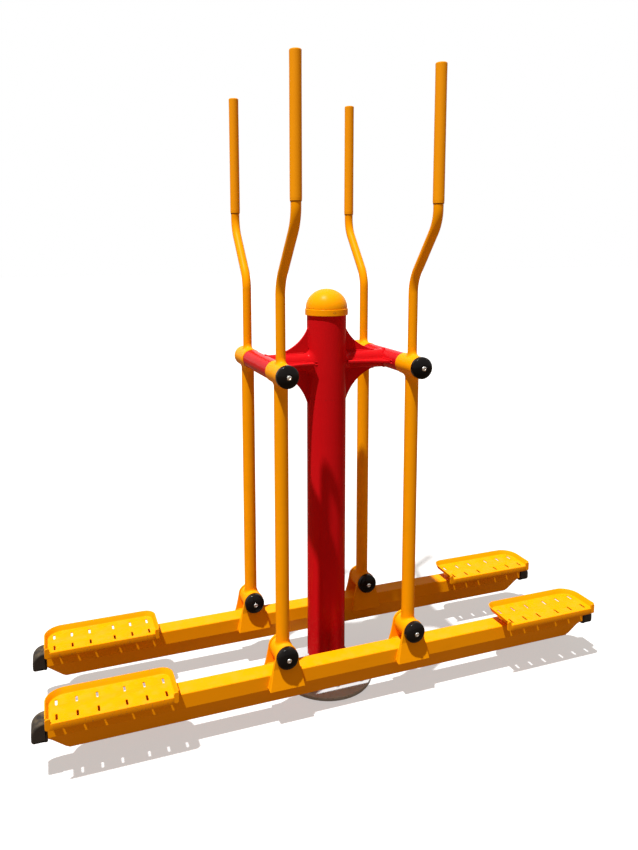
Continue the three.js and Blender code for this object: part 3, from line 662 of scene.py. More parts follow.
# %% Anchor bolts
nut_radius, nut_height = 12 * mm, 11 * mm
stud_radius, thread_depth, thread_pitch = 8 * mm, 0.35 * mm, 2.4 * mm
washer_top, stud_top = base_thickness + 2.5 * mm, base_thickness + 26 * mm
hexagon, _ = rounded([(nut_radius * math.cos(a), nut_radius * math.sin(a))
                      for a in np.radians(range(0, 360, 60))], 0.8 * mm)
nut = plate(hexagon, nut_height, 1 * mm)
thread = [(stud_radius - thread_depth * (k % 2), base_thickness + 3 * mm + h * thread_pitch)
          for k, h in enumerate(np.linspace(0, 9, 73))]
stud_line = [(0, base_thickness), *thread, (6.6 * mm, stud_top), (0, stud_top)]
anchor_parts = []
for x, y in bolt_places:
    washer = ring(14.5 * mm, 8.3 * mm, base_thickness, washer_top, edge=0.4 * mm, at=(x, y, 0), count=40)
    stud = turned(stud_line, np.zeros(len(stud_line)), at=(x, y, 0), count=24, closed=False)
    anchor_parts += [washer, moved(nut, x, y, washer_top), stud]
piece("anchor_bolts", anchor_parts, zinc_steel, body=body_of(frame["nodes"]["base_plate"])[0])
print("foot made of", len(foot_parts) + len(anchor_parts), "shells")

# %% [markdown]
# ## The post's cap
#
# A moulded yellow cap closes the post: a collar with three set screws, a narrow groove and a dome.
# The dome is a quarter of an ellipse. It could be a squashed sphere, but one profile gives the
# collar, the groove and the dome together, with a real step between them.

# %% Cap
cap_bottom = head_top + seat_gap
groove_low, groove_high = cap_bottom + 20 * mm, cap_bottom + 23 * mm
collar_radius, groove_radius, bore_radius = 69 * mm, 66.5 * mm, 58.9 * mm
dome_radius, dome_height, cap_wall = 67 * mm, 61 * mm, 3.5 * mm
quarter_turn = np.linspace(0, math.pi / 2, 25)
dome = ellipse(quarter_turn, dome_radius, dome_height, groove_high)
inner_dome = ellipse(quarter_turn, dome_radius - cap_wall, dome_height - cap_wall, groove_high)[::-1]
collar, collar_worn = rounded([(bore_radius, cap_bottom), (collar_radius, cap_bottom),
                               (collar_radius, groove_low), (groove_radius, groove_low)],
                              [0, 1.2 * mm, 1 * mm, 0], closed=False)
inside = [(bore_radius + 0.6 * mm, groove_high), (bore_radius, groove_high - 3 * mm)]
cap_profile = np.vstack([collar, [(groove_radius, groove_high)], dome, inner_dome, inside])
cap_worn = np.concatenate([collar_worn, np.zeros(len(cap_profile) - len(collar_worn))])
piece("post_dome_cap", [turned(cap_profile, cap_worn, count=96)], cap_plastic,
      replaces="post_cap")
print("cap top at", round(cap_profile[:, 1].max(), 3), "m")

# %% [markdown]
# Each set screw sits in its hole in the collar, inside a dark ring that is painted shade of the
# hole. The screw has a six-sided socket. A socket is a grid between a round rim and a hexagon, whose
# radius at an angle is the hexagon's inner radius over the cosine of the angle measured from the
# middle of the nearest side.

# %% Sockets and set screws
def socket_rings(outer, across, depth, top, fade=0.5 * mm, count=48):
    """Rings from a round rim into a six-sided socket, as (u, v, height) rows for a grid."""
    angle = all_round(count)
    nearest = (angle + math.pi / 6) % (math.pi / 3) - math.pi / 6
    six = across / np.cos(nearest)
    rows = [(np.full(count, outer), top), (six + fade, top), (six, top - fade),
            (six, top - depth), (six * 0.0, top - depth * 1.15)]
    return np.stack([np.stack([r * np.cos(angle), r * np.sin(angle), np.full(count, h)], 1)
                     for r, h in rows])


def screw_head(profile, outer, across, depth, top, count=48):
    """A turned head closed on top by its socket: the profile runs from the axis below to the rim."""
    profile = np.asarray(profile, float)
    angle = all_round(count)
    body = np.stack([profile[:, :1] * np.cos(angle), profile[:, :1] * np.sin(angle),
                     np.repeat(profile[:, 1:], count, axis=1)], -1)
    rows = np.concatenate([body, socket_rings(outer, across, depth, top, count=count)])
    return closed_shell(rows, grid_faces(len(rows), count))


def faced(shell, direction, at):
    """Turns a shell whose axis is +Z so that it faces along a level direction, and puts it there."""
    points, faces, worn = shell
    d = np.array(direction, float)
    across = np.cross([0, 0, 1], d)
    turned_points = points @ np.array([across, [0, 0, 1], d])
    return closed_shell(turned_points + np.array(at), faces, worn)


grub = screw_head([(0, -3 * mm), (3 * mm, -3 * mm), (3 * mm, -0.4 * mm), (2.7 * mm, 0)],
                  outer=2.6 * mm, across=1.4 * mm, depth=2 * mm, top=0)
# A flat dark ring round each screw: painted shade of the hole.
hole_shade_ring = ring(4.2 * mm, 3 * mm, -1.5 * mm, 0.05 * mm, edge=0.3 * mm, count=32)
screw_reach, screw_level = collar_radius - 0.1 * mm, cap_bottom + 10 * mm
set_screws = []
for angle in np.radians([-90, 30, 150]):
    way = (math.cos(angle), math.sin(angle), 0)
    at = (way[0] * screw_reach, way[1] * screw_reach, screw_level)
    set_screws += [faced(grub, way, at), faced(hole_shade_ring, way, at)]
piece("cap_set_screws", set_screws, black_steel, body="post_and_head")
print("set screws:", len(set_screws) // 2)

# %% [markdown]
# ## The head: sleeve, arms and cross tubes
#
# A sleeve round the post carries an arm on each side. Each arm is a tube that flares into the
# sleeve, with a level plate along its middle that widens in a curve towards the cross tube, and an
# upright web above and below it whose edges are hollow curves. Thick weld beads run along the
# joints, where their ripples catch the light.

# %% Arm tube
def arm_tube_shell(count=72):
    """Rows of growing distance d from the sleeve: radius = tube radius + fillet - root of (fillet
    squared - (fillet - d) squared). A row starts on the sleeve, at x = root of (sleeve radius
    squared - y squared) + d, and the last one ends on the cross tube in the same way."""
    angle = all_round(count)
    fillet, inner_radius, reach = 15 * mm, arm_tube_radius - 3 * mm, cross_tube_radius - 1 * mm

    def from_sleeve(radius, distance):
        """A row of that radius round the arm, at a distance from the sleeve's round face."""
        y = radius * np.cos(angle)
        return np.sqrt(post_radius ** 2 - y ** 2) + distance, y, radius * np.sin(angle)

    def at_cross_tube(radius):
        """A row of that radius just inside the cross tube's round face."""
        z = radius * np.sin(angle)
        return pivot_x - np.sqrt(np.clip(reach ** 2 - z ** 2, 0, None)), radius * np.cos(angle), z

    rows = []
    for d in np.array([-2, 0, 0.4, 1.2, 2.5, 4.5, 7, 10, 13, 15, 17]) * mm:
        room = max(fillet - max(d, 0), 0)
        rows.append(from_sleeve(arm_tube_radius + fillet - math.sqrt(fillet ** 2 - room ** 2), d))
    rows += [at_cross_tube(arm_tube_radius), at_cross_tube(inner_radius), from_sleeve(inner_radius, -2 * mm)]
    points = np.stack([np.stack(row, -1) for row in rows]) + np.array([0, 0, pivot_height])
    return closed_shell(points, grid_faces(len(rows), count, wrap_rows=True))


# %% Head frame
hub_half, hub_clearance = 50 * mm, 1.2 * mm
cross_half = plane_y - hub_half - hub_clearance
head_parts = [ring(post_radius, neck_radius + seat_gap, head_bottom, head_top, edge=0.3 * mm, count=96)]
inside_wall = post_radius - 3 * mm
at_tube = pivot_x - 10 * mm
bend_x = (pivot_x + post_radius) / 2
plate_half = 4 * mm

arm_edge = curve((inside_wall, -55 * mm), (bend_x, -55 * mm), (at_tube, -108 * mm))
arm_line = np.vstack([arm_edge, (arm_edge * np.array([1, -1]))[::-1]])
arm = plate(arm_line, 2 * plate_half, 1.2 * mm,
            place=lambda u, v, w: (u, v, w + pivot_height - plate_half))

elbow = post_radius + cross_tube_radius
root_x = post_radius + 0.4 * mm
web_top = curve((at_tube, 22 * mm), (elbow, 37 * mm), (post_radius, 115 * mm), 20)
web_low = curve((root_x, -142 * mm), (elbow, -37 * mm), (at_tube, -22 * mm), 20)
web_root = [(inside_wall, 115 * mm), (inside_wall, -116 * mm), (root_x, -117 * mm)]
web = plate(np.vstack([web_low, web_top, web_root]), 2 * plate_half, 1.2 * mm,
            place=lambda u, v, w: (u, plate_half - w, v + pivot_height))

tube_seam_x = pivot_x - math.sqrt(cross_tube_radius ** 2 - (5 * mm) ** 2)
tube_bead_x = tube_seam_x + 0.6 * mm
tube_bead_half, bead_turn = 104 * mm, 0.74
web_bead_low, web_bead_high = 42 * mm, 112 * mm
ridge, ridge_start, ridge_end = arm_tube_radius - 0.2 * mm, 78 * mm, 170 * mm
arm_welds = []
for level in (-1, 1):
    z = pivot_height + level * 4.5 * mm
    arm_welds.append(weld_bead([(tube_bead_x, -tube_bead_half, z), (tube_bead_x, tube_bead_half, z)],
                               3.4 * mm))
    on_post = ellipse(np.linspace(-bead_turn, bead_turn, 60), post_radius, post_radius)
    arm_welds.append(weld_bead(np.column_stack([on_post, np.full(60, z)]), 2.6 * mm))
    for face in (-1, 1):
        y = face * 4.4 * mm
        out = math.sqrt(post_radius ** 2 - y ** 2)
        up_post = [(out, y, pivot_height + level * height) for height in (web_bead_low, web_bead_high)]
        on_web = [(x, y, pivot_height + level * ridge) for x in (ridge_start, ridge_end)]
        on_plate = [(x, face * ridge, z) for x in (ridge_start, tube_seam_x)]
        arm_welds += [weld_bead(up_post, 3 * mm, side=(0, 1, 0)), weld_bead(on_web, 2.6 * mm),
                      weld_bead(on_plate, 2.4 * mm)]
turn_round = all_round(120)
lift = arm_tube_radius * np.sin(turn_round)
joint = np.stack([pivot_x - np.sqrt(cross_tube_radius ** 2 - lift ** 2),
                  arm_tube_radius * np.cos(turn_round), pivot_height + lift], 1)
arm_welds += [weld_bead(joint, 3 * mm, ends=False), arm_tube_shell()]

for _, side in sides:
    right_parts = [arm, web, *arm_welds]
    head_parts += right_parts if side > 0 else [mirrored(shell) for shell in right_parts]
    head_parts.append(ring(cross_tube_radius, 12.9 * mm, -cross_half, cross_half, edge=1.2 * mm,
                           axis="y", at=(side * pivot_x, 0, pivot_height), count=64))
piece("head_weldment", head_parts, red_coat, replaces="head_frame")
print("head made of", len(head_parts), "shells")

# %% [markdown]
# ## Hub ends
#
# Hubs end in glossy black caps, each held by one stainless button screw: a tall dome where a hub
# faces the front and a low one where it faces the back. A lower hub has both, and an upper hub has
# one, on its outer end. A cap is part of an ellipse over a short straight rim, with a shallow seat
# for the screw in its middle. The screw is domed too, with a six-sided socket.

# %% Domes and button screws
def cap_shell(radius, rim, height):
    """Rim, dome and seat as (radius, height) pairs in millimetres: the dome is the radius times the
    cosine, and the rim plus the rest of the height times the sine, as far as the screw's seat.
    Returns the shell and the height at which the screw sits, both in metres."""
    seat_radius, bore, foot_height = 10.5, 4.3, 0.3
    crown = ellipse(np.linspace(0, math.acos(seat_radius / radius), 22), radius, height - rim, rim)
    foot = [(radius - 4, foot_height), (radius - 0.8, foot_height), (radius - 0.2, 0.8), (radius, 1.4)]
    brink = crown[-1, 1]
    seat = [(9.6, brink - 0.17), (8.9, brink - 0.67), (8.6, brink - 1.07), (bore, brink - 1.07),
            (bore, rim), (radius - 4, rim)]
    line = np.vstack([foot, crown, seat]) * mm
    worn = np.zeros(len(line))
    worn[2:6] = 0.6
    return turned(line, worn, count=72), (brink - 1.0) * mm


head_radius, head_rise, rim_radius = 7.5, 4.0, 4.3
round_over = np.linspace(0, math.acos(rim_radius / head_radius), 10)
head_curve = ellipse(round_over, head_radius, head_rise, 0.6) * mm
button = screw_head(np.vstack([[(0, 0), (7.3 * mm, 0)], head_curve]),
                    outer=4.0 * mm, across=2.9 * mm, depth=2.4 * mm, top=head_curve[-1, 1])
cap_forms = {-1: cap_shell(radius=34, rim=12, height=25), 1: cap_shell(radius=26, rim=3.5, height=8)}


def close_hub(label, x, y, z, way):
    """Puts a cap and its screw on a hub's end, facing -1 or 1 along Y."""
    place = (x, y, z)
    cap, seat_height = cap_forms[way]
    piece(f"dome_{label}", [faced(cap, (0, way, 0), place)], hub_plastic,
          replaces=f"hub_cap_{label}")
    piece(f"button_screw_{label}", [faced(moved(button, z=seat_height), (0, way, 0), place)],
          stainless_steel, replaces=f"hub_screw_{label}")


bracket_reach = 38 * mm
upper_end = plane_y + hub_half + seat_gap
lower_end = bracket_reach + seat_gap
for label, _, plane, side in quarters:
    close_hub(f"upper_{label}", side * pivot_x, plane * upper_end, pivot_height, plane)
    for face_name, way in (("outer", -1), ("inner", 1)):
        close_hub(f"lower_{label}_{face_name}", side * pivot_x, plane * plane_y + way * lower_end,
                  lower_pivot_height, way)
print("hub ends closed:", sum(name.startswith("dome") for name in made_names))

# %% [markdown]
# ## Swing bars
#
# A swing bar is a tube with a hub sleeve welded across each end, and a thinner handle tube rising
# from the upper sleeve. Where a round bar meets a round sleeve, the joint is a saddle curve, and
# its weld is a hollow fillet that follows it. For each angle round the bar the fillet is a curve
# from the bar's side down to the sleeve, with the meeting point as its control.

# %% Fillets between a bar and its sleeve
def saddle(bar, leg, long_leg, x, y, z, way, count=96, rows=8):
    """Sleeve height at a distance r from the bar's axis: the root of the sleeve's radius squared
    minus (r times the cosine of the angle) squared. The fillet runs from the bar (leg above the
    joint) to the sleeve (leg outside the bar); two more rows close it inside the metal. The leg is
    short across the sleeve and long along it: it goes with the sine squared of the angle."""
    angle = all_round(count)
    ripple = 1 + 0.03 * np.sin(angle * 22)
    leg = leg + (long_leg - leg) * np.sin(angle) ** 2

    def height(r):
        """The sleeve's height at a distance from the bar's axis."""
        return np.sqrt(np.clip(sleeve_radius ** 2 - (r * np.cos(angle)) ** 2, 0, None))

    foot = bar + leg * ripple
    radius = curve(np.full(count, bar), np.full(count, bar), foot, rows - 1)
    rise = curve(height(bar) + leg * ripple, height(bar), height(foot), rows - 1)
    radius = np.vstack([radius, foot - 1 * mm, np.full(count, bar - 1 * mm)])
    rise = np.vstack([rise, height(foot) - 3 * mm, height(bar) - 3 * mm])
    points = np.stack([x + radius * np.cos(angle), y + radius * np.sin(angle), z + way * rise], -1)
    return closed_shell(points, grid_faces(len(radius), count, wrap_rows=True))


# %% Handle's centre line
handle_offset, handle_end = 135 * mm, 867 * mm


def handle_line(x, y, out):
    """Straight up, out over one arc, straight at a lean, back over a second arc, and straight up.
    An arc's points are the bend radius times (1 - cosine) across and times the sine along."""
    low, high, bend = 264 * mm, 436 * mm, 110 * mm
    lean = math.atan2(handle_offset, high - low)
    tangent = bend * math.tan(lean / 2)
    a = np.linspace(0, lean, 13)
    first = np.stack([bend * (1 - np.cos(a)), low - tangent + bend * np.sin(a)], 1)
    second = np.array([handle_offset, high + low]) - first[::-1]
    line = np.vstack([[(0, 24.5 * mm), (0, 60 * mm)], first, second,
                      [(handle_offset, 480 * mm), (handle_offset, handle_end)]])
    return np.column_stack([np.full(len(line), x), y + out * line[:, 0], pivot_height + line[:, 1]])


# %% [markdown]
# The grips are thin rubber tubes pushed over the handles and closed at the top. Their lower edge
# stands a little proud, and a dark line of shadow and glue shows just under it.

# %% Bars, sleeves and grips
sleeve_bore, lower_sleeve_length, bar_inset = 23.8 * mm, 58 * mm, 22 * mm
grip_start, grip_end, grip_bore = pivot_height + 487 * mm, pivot_height + handle_end + 5 * mm, 14.6 * mm
grip_top_inside = grip_end - 4 * mm
grip_profile, grip_worn = rounded(
    [(grip_bore, grip_start), (16.1 * mm, grip_start), (16.5 * mm, grip_start + 9 * mm),
     (16.3 * mm, grip_end - 40 * mm), (16.5 * mm, grip_end), (0, grip_end), (0, grip_top_inside),
     (grip_bore, grip_top_inside)],
    [0, 0.7 * mm, 2 * mm, 8 * mm, 3.2 * mm, 0, 0, 0], steps=5)


def sleeve(x, y, z, length):
    """A hub sleeve: a pipe along Y whose middle is at the pivot."""
    return ring(sleeve_radius, sleeve_bore, -length / 2, length / 2, edge=1.6 * mm,
                axis="y", at=(x, y, z), count=72)


for label, _, plane, side in quarters:
    x, y = side * pivot_x, plane * plane_y
    heights = np.linspace(lower_pivot_height + bar_inset, pivot_height - bar_inset, 9)
    straight = np.column_stack([np.full(9, x), np.full(9, y), heights])
    bar_parts = [
        carried(straight, bar_radius, (1, 0, 0), count=48),
        carried(handle_line(x, y, plane), handle_radius, (1, 0, 0), count=40),
        sleeve(x, y, pivot_height, 2 * hub_half),
        sleeve(x, y, lower_pivot_height, lower_sleeve_length),
        saddle(bar_radius, 7 * mm, 26 * mm, x, y, pivot_height, -1),
        saddle(bar_radius, 7 * mm, 7 * mm, x, y, lower_pivot_height, 1),
        saddle(handle_radius, 9 * mm, 16 * mm, x, y, pivot_height, 1),
    ]
    piece(f"swing_bar_tube_{label}", bar_parts, yellow_coat, replaces=f"swing_bar_{label}")
    on_handle = (x, y + plane * handle_offset, 0)
    piece(f"grip_sleeve_{label}", [turned(grip_profile, grip_worn, at=on_handle, count=56)],
          grip_rubber, replaces=f"grip_{label}")
    # A dark ring under the grip's lower edge: glue, with painted shadow under the grip's lip.
    glue_and_shade_ring = ring(15.3 * mm, 14.3 * mm, grip_start - 1.6 * mm, grip_start - 0.1 * mm, edge=0.4 * mm,
                at=on_handle, count=48)
    piece(f"grip_glue_and_shade_line_{label}", [glue_and_shade_ring], seam_glue_and_shade, body=f"bar_{label}")
print("bars:", sum(name.startswith("swing_bar") for name in made_names))

# %% [markdown]
# ## Beams
#
# A beam is folded from sheet: level on top, upright at the sides, then tapering to a narrow
# bottom, with soft bends at its six corners. Its lower corners are cut off at a slant at the ends.
# The section is carried along X, and the slant comes from one rule: no point may lie lower than a
# line that rises over the last 56 mm of the beam.

# %% Beam shell
beam_half = 905 * mm
beam_top = lower_pivot_height - 54 * mm
beam_crease = beam_top - 46 * mm
beam_bottom = beam_crease - 54 * mm
beam_end_bottom = beam_top - 58 * mm
chamfer_start = beam_half - 56 * mm
beam_half_width, keel_half_width = 30 * mm, 12 * mm


def beam_shell(y):
    """Height = the larger of the section's own height and the slant line's height at that X."""
    corners = [(beam_half_width, beam_top), (-beam_half_width, beam_top),
               (-beam_half_width, beam_crease), (-keel_half_width, beam_bottom),
               (keel_half_width, beam_bottom), (beam_half_width, beam_crease)]
    section, bends = rounded(corners, [3 * mm, 3 * mm, 7 * mm, 5 * mm, 5 * mm, 7 * mm], steps=5)
    stations = np.concatenate([np.linspace(-beam_half, -chamfer_start, 7),
                               np.linspace(-chamfer_start, chamfer_start, 41)[1:-1],
                               np.linspace(chamfer_start, beam_half, 7)])
    slant = np.interp(np.abs(stations), [chamfer_start, beam_half], [beam_bottom, beam_end_bottom])
    x = np.repeat(stations[:, None], len(section), 1)
    across = np.repeat(section[None, :, 0], len(stations), 0)
    z = np.maximum(section[None, :, 1], slant[:, None])
    points = np.stack([x, y + across, z], -1).reshape(-1, 3)
    faces = grid_faces(len(stations), len(section))
    last = (len(stations) - 1) * len(section)
    faces += [tuple(range(len(section))), tuple(range(last, last + len(section)))]
    return closed_shell(points, faces, np.tile(bends * 0.5, len(stations)))


# %% [markdown]
# Each bracket is a plate that stands on the beam's face and rises to a round head over the hub.
# It is a rectangle with soft corners carried upwards: its half width follows the straight sides
# up to the pivot's height and a circle above it, and its outer face flares out towards the crease.

# %% Bracket shell
def bracket_shell(x, y, face):
    """Rows at rising heights, in millimetres from the pivot: half width = 56 narrowing to 35 at the
    pivot, then the root of 35 squared minus height squared; depth = 8, plus up to 10 more below the
    waist, 36 under the pivot. The lowest row is drawn in by 0.8 for its rounded edge."""
    head, foot, depth, flare_depth, waist, bottom = 35, 56, 8, 10, -36, -100
    heights = np.concatenate([[bottom, -99.2, -98], np.linspace(-90, -44, 6), [-38, waist, -34, -28, -18, -8],
                              head * np.sin(np.linspace(0, math.pi / 2, 17))])
    drawn = np.where(heights == bottom, 0.8, 0)
    half = np.where(heights < 0, head + (foot - head) * heights / bottom,
                    np.sqrt(np.clip(head ** 2 - heights ** 2, 0, None))) - drawn
    half = half[:, None]
    outer = (depth + flare_depth * np.clip((waist - heights) / (waist - bottom), 0, 1) - drawn)[:, None]
    edge = np.minimum(1.6, half * 0.5)
    turn = np.linspace(0, math.pi / 2, 5)
    low = np.stack([half, np.zeros_like(half)], -1)
    bend = np.stack([half - edge + edge * np.cos(turn), outer - edge + edge * np.sin(turn)], -1)
    guard = np.stack([half - edge - 1, outer], -1)
    right_line = np.concatenate([low, bend, guard], 1)
    section = np.concatenate([right_line, right_line[:, ::-1] * np.array([-1, 1])], 1)
    section[:, :, 0] = np.clip(section[:, :, 0], -half, half)
    count = section.shape[1]
    points = np.stack([x + section[..., 0] * mm, y + face * (beam_half_width + section[..., 1] * mm),
                       lower_pivot_height + np.repeat(heights[:, None], count, 1) * mm], -1)
    faces = grid_faces(len(heights), count) + [tuple(range(count))]
    worn = np.tile(np.concatenate([[0], np.ones(5), [0, 0], np.ones(5), [0]]) * 0.8, len(heights))
    return closed_shell(points, faces, worn)


def bracket_welds(x, y, face):
    """Beads up both sides where the bracket crosses the beam's face, one under it along the crease,
    and one along the beam's top edge behind the bracket."""
    face_y = y + face * beam_half_width
    beads = []
    for way in (-1, 1):
        low = (x + way * 56.6 * mm, face_y, beam_crease + 1 * mm)
        high = (x + way * 46.8 * mm, face_y, beam_top - 1 * mm)
        beads.append(weld_bead([low, high], 2.8 * mm, side=(0, 1, 0)))
    for half, bead_y, z, size in ((54 * mm, face_y + face * 2 * mm, beam_crease - 0.6 * mm, 2.8 * mm),
                                  (43 * mm, face_y - face * 0.8 * mm, beam_top + 0.4 * mm, 2.2 * mm)):
        beads.append(weld_bead([(x - half, bead_y, z), (x + half, bead_y, z)], size))
    return beads


# %% Two beams with their brackets
for plane_name, plane in planes:
    y = plane * plane_y
    parts = [beam_shell(y)]
    for _, side in sides:
        for face in (-1, 1):
            parts += [bracket_shell(side * pivot_x, y, face), *bracket_welds(side * pivot_x, y, face)]
    piece(f"beam_weldment_{plane_name}", parts, yellow_coat, replaces=f"beam_{plane_name}")
print("beam tops at", round(beam_top, 4), "m")

# %% [markdown]
# ## Rubber noses
#
# A black rubber block closes each beam end and softens a knock. Seen from the side it has a large
# round on top and a small one below. It is a plate standing in X and Z, as wide as the beam, with
# wide rounded edges, and a plug that reaches into the beam.

# %% Noses
def nose_shells(side, y):
    """The block outside the beam's end and the plug inside it, for the right or the left end."""
    start, end, bottom = beam_half + seat_gap, beam_half + 44 * mm, beam_end_bottom
    width, plug_width = 2 * beam_half_width, 50 * mm
    line, _ = rounded([(start, bottom), (end, bottom), (end, beam_top), (start, beam_top)],
                      [1 * mm, 9 * mm, 36 * mm, 1 * mm], steps=8)
    block = plate(line, width, 6 * mm, place=standing(y, width), steps=6)
    plug_start, plug_end, plug_top = beam_half - 26 * mm, start + 1 * mm, beam_top - 4 * mm
    plug_line = [(plug_start, beam_top - 30 * mm), (plug_end, beam_top - 45 * mm),
                 (plug_end, plug_top), (plug_start, plug_top)]
    plug = plate(plug_line, plug_width, 1 * mm, place=standing(y, plug_width))
    shells = [block, plug]
    return shells if side > 0 else [mirrored(shell) for shell in shells]


for label, _, plane, side in quarters:
    piece(f"nose_block_{label}", nose_shells(side, plane * plane_y), nose_rubber,
          replaces=f"beam_nose_{label}")
print("noses:", sum(name.startswith("nose") for name in made_names))

# %% [markdown]
# ## Pedals
#
# A pedal is pressed from one sheet: a flat tread with two rows of slots, a rim that bends up and
# leans outwards on the far side and at both ends, and an apron that bends down on the near side.
# The tread's edge is an outline, and the rim is a short profile carried along that outline: each
# point moves outwards by the profile's first number and up by its second. A Solidify modifier
# gives the sheet its thickness, and a Bevel softens its cut edges.

# %% Pedal tray
tread_height = beam_top + 26.5 * mm
pedal_x, pedal_half = 731 * mm, 169.5 * mm
near_y, far_y = -77 * mm, 45 * mm
sheet_thickness = 3 * mm
soft_bend, tight_bend = 3 * mm, 1.6 * mm
rim_out, rim_up, apron_height = 8 * mm, 17 * mm, 20 * mm
end_y, flat_margin = -20 * mm, 1.2 * mm


def edge_profile(out, up, bend, steps=5):
    """A bend and the straight strip after it, for an edge that leans by 'out' while it climbs 'up'.
    The bend turns by the angle whose tangent is up over out, and its points are the radius times
    the sine and one minus the cosine. Also returns how far in from the outline it starts."""
    lean = math.atan2(abs(up), out)
    reach = bend * math.tan(lean / 2)
    angle = np.linspace(0, lean, steps + 1)
    arc = np.stack([-reach + bend * np.sin(angle), math.copysign(1, up) * bend * (1 - np.cos(angle))], 1)
    tip = np.array([[out, up]])
    strip = [arc[-1] + (tip - arc[-1]) * 0.3, tip]
    return np.vstack([[(-reach - flat_margin, 0)], arc, *strip]), reach + flat_margin


def tray_shell():
    """The flat tread with its slots, the leaning rim and the hanging apron, as one open sheet.
    The outer far corner has a large round and the inner one a smaller one."""
    profile, reach = edge_profile(rim_out, rim_up, soft_bend)
    apron, apron_reach = edge_profile(0.001 * mm, -apron_height, tight_bend)
    corner_out, corner_in = 45 * mm, 26 * mm
    a = np.linspace(0, math.pi / 2, 19)
    outer_way, inner_way = ellipse(a, 1, 1), np.stack([-np.sin(a), np.cos(a)], 1)
    outer_arc = np.array([pedal_half - corner_out, far_y - corner_out]) + corner_out * outer_way
    inner_arc = np.array([-pedal_half + corner_in, far_y - corner_in]) + corner_in * inner_way
    start = near_y + apron_reach
    rim_line = np.vstack([[(pedal_half, start), (pedal_half, end_y)], outer_arc, inner_arc,
                          [(-pedal_half, end_y), (-pedal_half, start)]])
    out = np.vstack([[(1, 0), (1, 0)], outer_way, inner_way, [(-1, 0), (-1, 0)]])
    rim = np.concatenate([rim_line[None] + profile[:, None, :1] * out[None],
                          np.broadcast_to(profile[:, None, 1:], (len(profile), len(rim_line), 1))], -1)
    near_x = np.linspace(-pedal_half + reach, pedal_half - reach, 25)
    hang = np.stack(np.broadcast_arrays(near_x, near_y - apron[:, :1], apron[:, 1:]), -1)

    loops = [np.vstack([hang[0, :, :2], rim[0, :, :2]])]
    slot_radius, slot_reach = 3.25, 9.75
    slot_end = ellipse(np.linspace(0, math.pi, 9), slot_radius, slot_radius, slot_reach)
    slot = np.vstack([slot_end, -slot_end]) * mm
    for x in (-149, -94, -38, 38, 94, 149):
        for row in (-52, 12):
            # With up to 0.15 mm of stray no three corners lie on one line, so no triangle is empty.
            stray = np.array([0.04 * math.sin(x), 0.15 * math.sin(0.7 * x + row)])
            loops.append((slot + (np.array([x, row]) + stray) * mm)[::-1])

    flat = np.vstack(loops)
    points = [np.column_stack([flat, np.zeros(len(flat))]), rim.reshape(-1, 3), hang.reshape(-1, 3)]
    faces = [tuple(face) for face in tessellate_polygon([[(*p, 0.0) for p in loop] for loop in loops])]
    count = len(flat)
    for grid in (rim, hang):
        faces += [tuple(k + count for k in face) for face in grid_faces(*grid.shape[:2], wrap_columns=False)]
        count += grid.shape[0] * grid.shape[1]
    worn = np.concatenate([np.zeros(len(flat)),
                           np.repeat([0.0] * (len(profile) - 1) + [1.0], len(rim_line)),
                           np.repeat([0.0] + [0.6] * (len(apron) - 2) + [1.0], len(near_x))])
    return welded(np.vstack(points), faces, worn)


def facing_up(made):
    """Makes neighbouring faces agree, and turns them all round if the flat tread faces down."""
    work = bmesh.new()
    work.from_mesh(made.data)
    bmesh.ops.recalc_face_normals(work, faces=work.faces)
    widest = max(work.faces, key=lambda face: face.calc_area() * abs(face.normal.z))
    if widest.normal.z < 0:
        bmesh.ops.reverse_faces(work, faces=work.faces)
    work.to_mesh(made.data)
    work.free()


# %% [markdown]
# Small plates finish each pedal: a rounded tab closes each near corner, where apron and rim meet,
# and three feet carry the tread on the beam. Weld beads tie the feet to the beam's top.

# %% Tabs and feet
tab_half, tab_top, tab_thickness = 7.5 * mm, 14 * mm, 5 * mm
tab_line, _ = rounded([(-tab_half, -apron_height), (tab_half, -apron_height),
                       (tab_half, tab_top), (-tab_half, tab_top)], 6 * mm, steps=6)
tab = plate(tab_line, tab_thickness, 1.5 * mm,
            place=standing(near_y + tab_thickness / 2, tab_thickness))
foot_half, foot_thickness, foot_low, foot_high = 27 * mm, 6 * mm, -26.2 * mm, -2.9 * mm
foot = plate([(-foot_half, foot_low), (foot_half, foot_low),
              (foot_half, foot_high), (-foot_half, foot_high)], foot_thickness, 0.8 * mm,
             place=lambda u, v, w: (w - foot_thickness / 2, u, v))
tab_x, foot_step = pedal_half + 3 * mm, 121 * mm
bead_step, bead_half, bead_level = 3.6 * mm, 25 * mm, -25.4 * mm
fittings = [moved(tab, -tab_x), moved(tab, tab_x)]
for x in (-foot_step, 0, foot_step):
    fittings.append(moved(foot, x))
    for bead_x in (x - bead_step, x + bead_step):
        fittings.append(weld_bead([(bead_x, -bead_half, bead_level), (bead_x, bead_half, bead_level)],
                                  1.8 * mm))
print("fittings on each pedal:", len(fittings))


# %% The four pedals
def on_beam(shell, plane, side):
    """A shell drawn for a right pedal, moved to its place, and mirrored first for a left one."""
    return moved(shell if side > 0 else mirrored(shell), side * pedal_x, plane * plane_y, tread_height)


tray = tray_shell()
for label, plane_name, plane, side in quarters:
    tray_piece = piece(f"pedal_tray_{label}", [on_beam(tray, plane, side)], tread_coat,
                       replaces=f"pedal_{label}", crease=50)
    facing_up(tray_piece)
    sheet = tray_piece.modifiers.new("sheet thickness", "SOLIDIFY")
    sheet.thickness, sheet.offset, sheet.use_even_offset = sheet_thickness, -1, True
    soften = tray_piece.modifiers.new("cut edges", "BEVEL")
    soften.width, soften.segments, soften.limit_method = 0.5 * mm, 2, "ANGLE"
    soften.angle_limit = math.radians(60)
    piece(f"pedal_fittings_{label}", [on_beam(shell, plane, side) for shell in fittings], tread_coat,
          body=f"carriage_{plane_name}")
print("pedals:", sum(name.startswith("pedal_tray") for name in made_names))

# %% [markdown]
# ## Axles and bearings
#
# The axles and bearings sit inside the sleeves and show only as thin rings in the gaps, so the
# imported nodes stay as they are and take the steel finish.

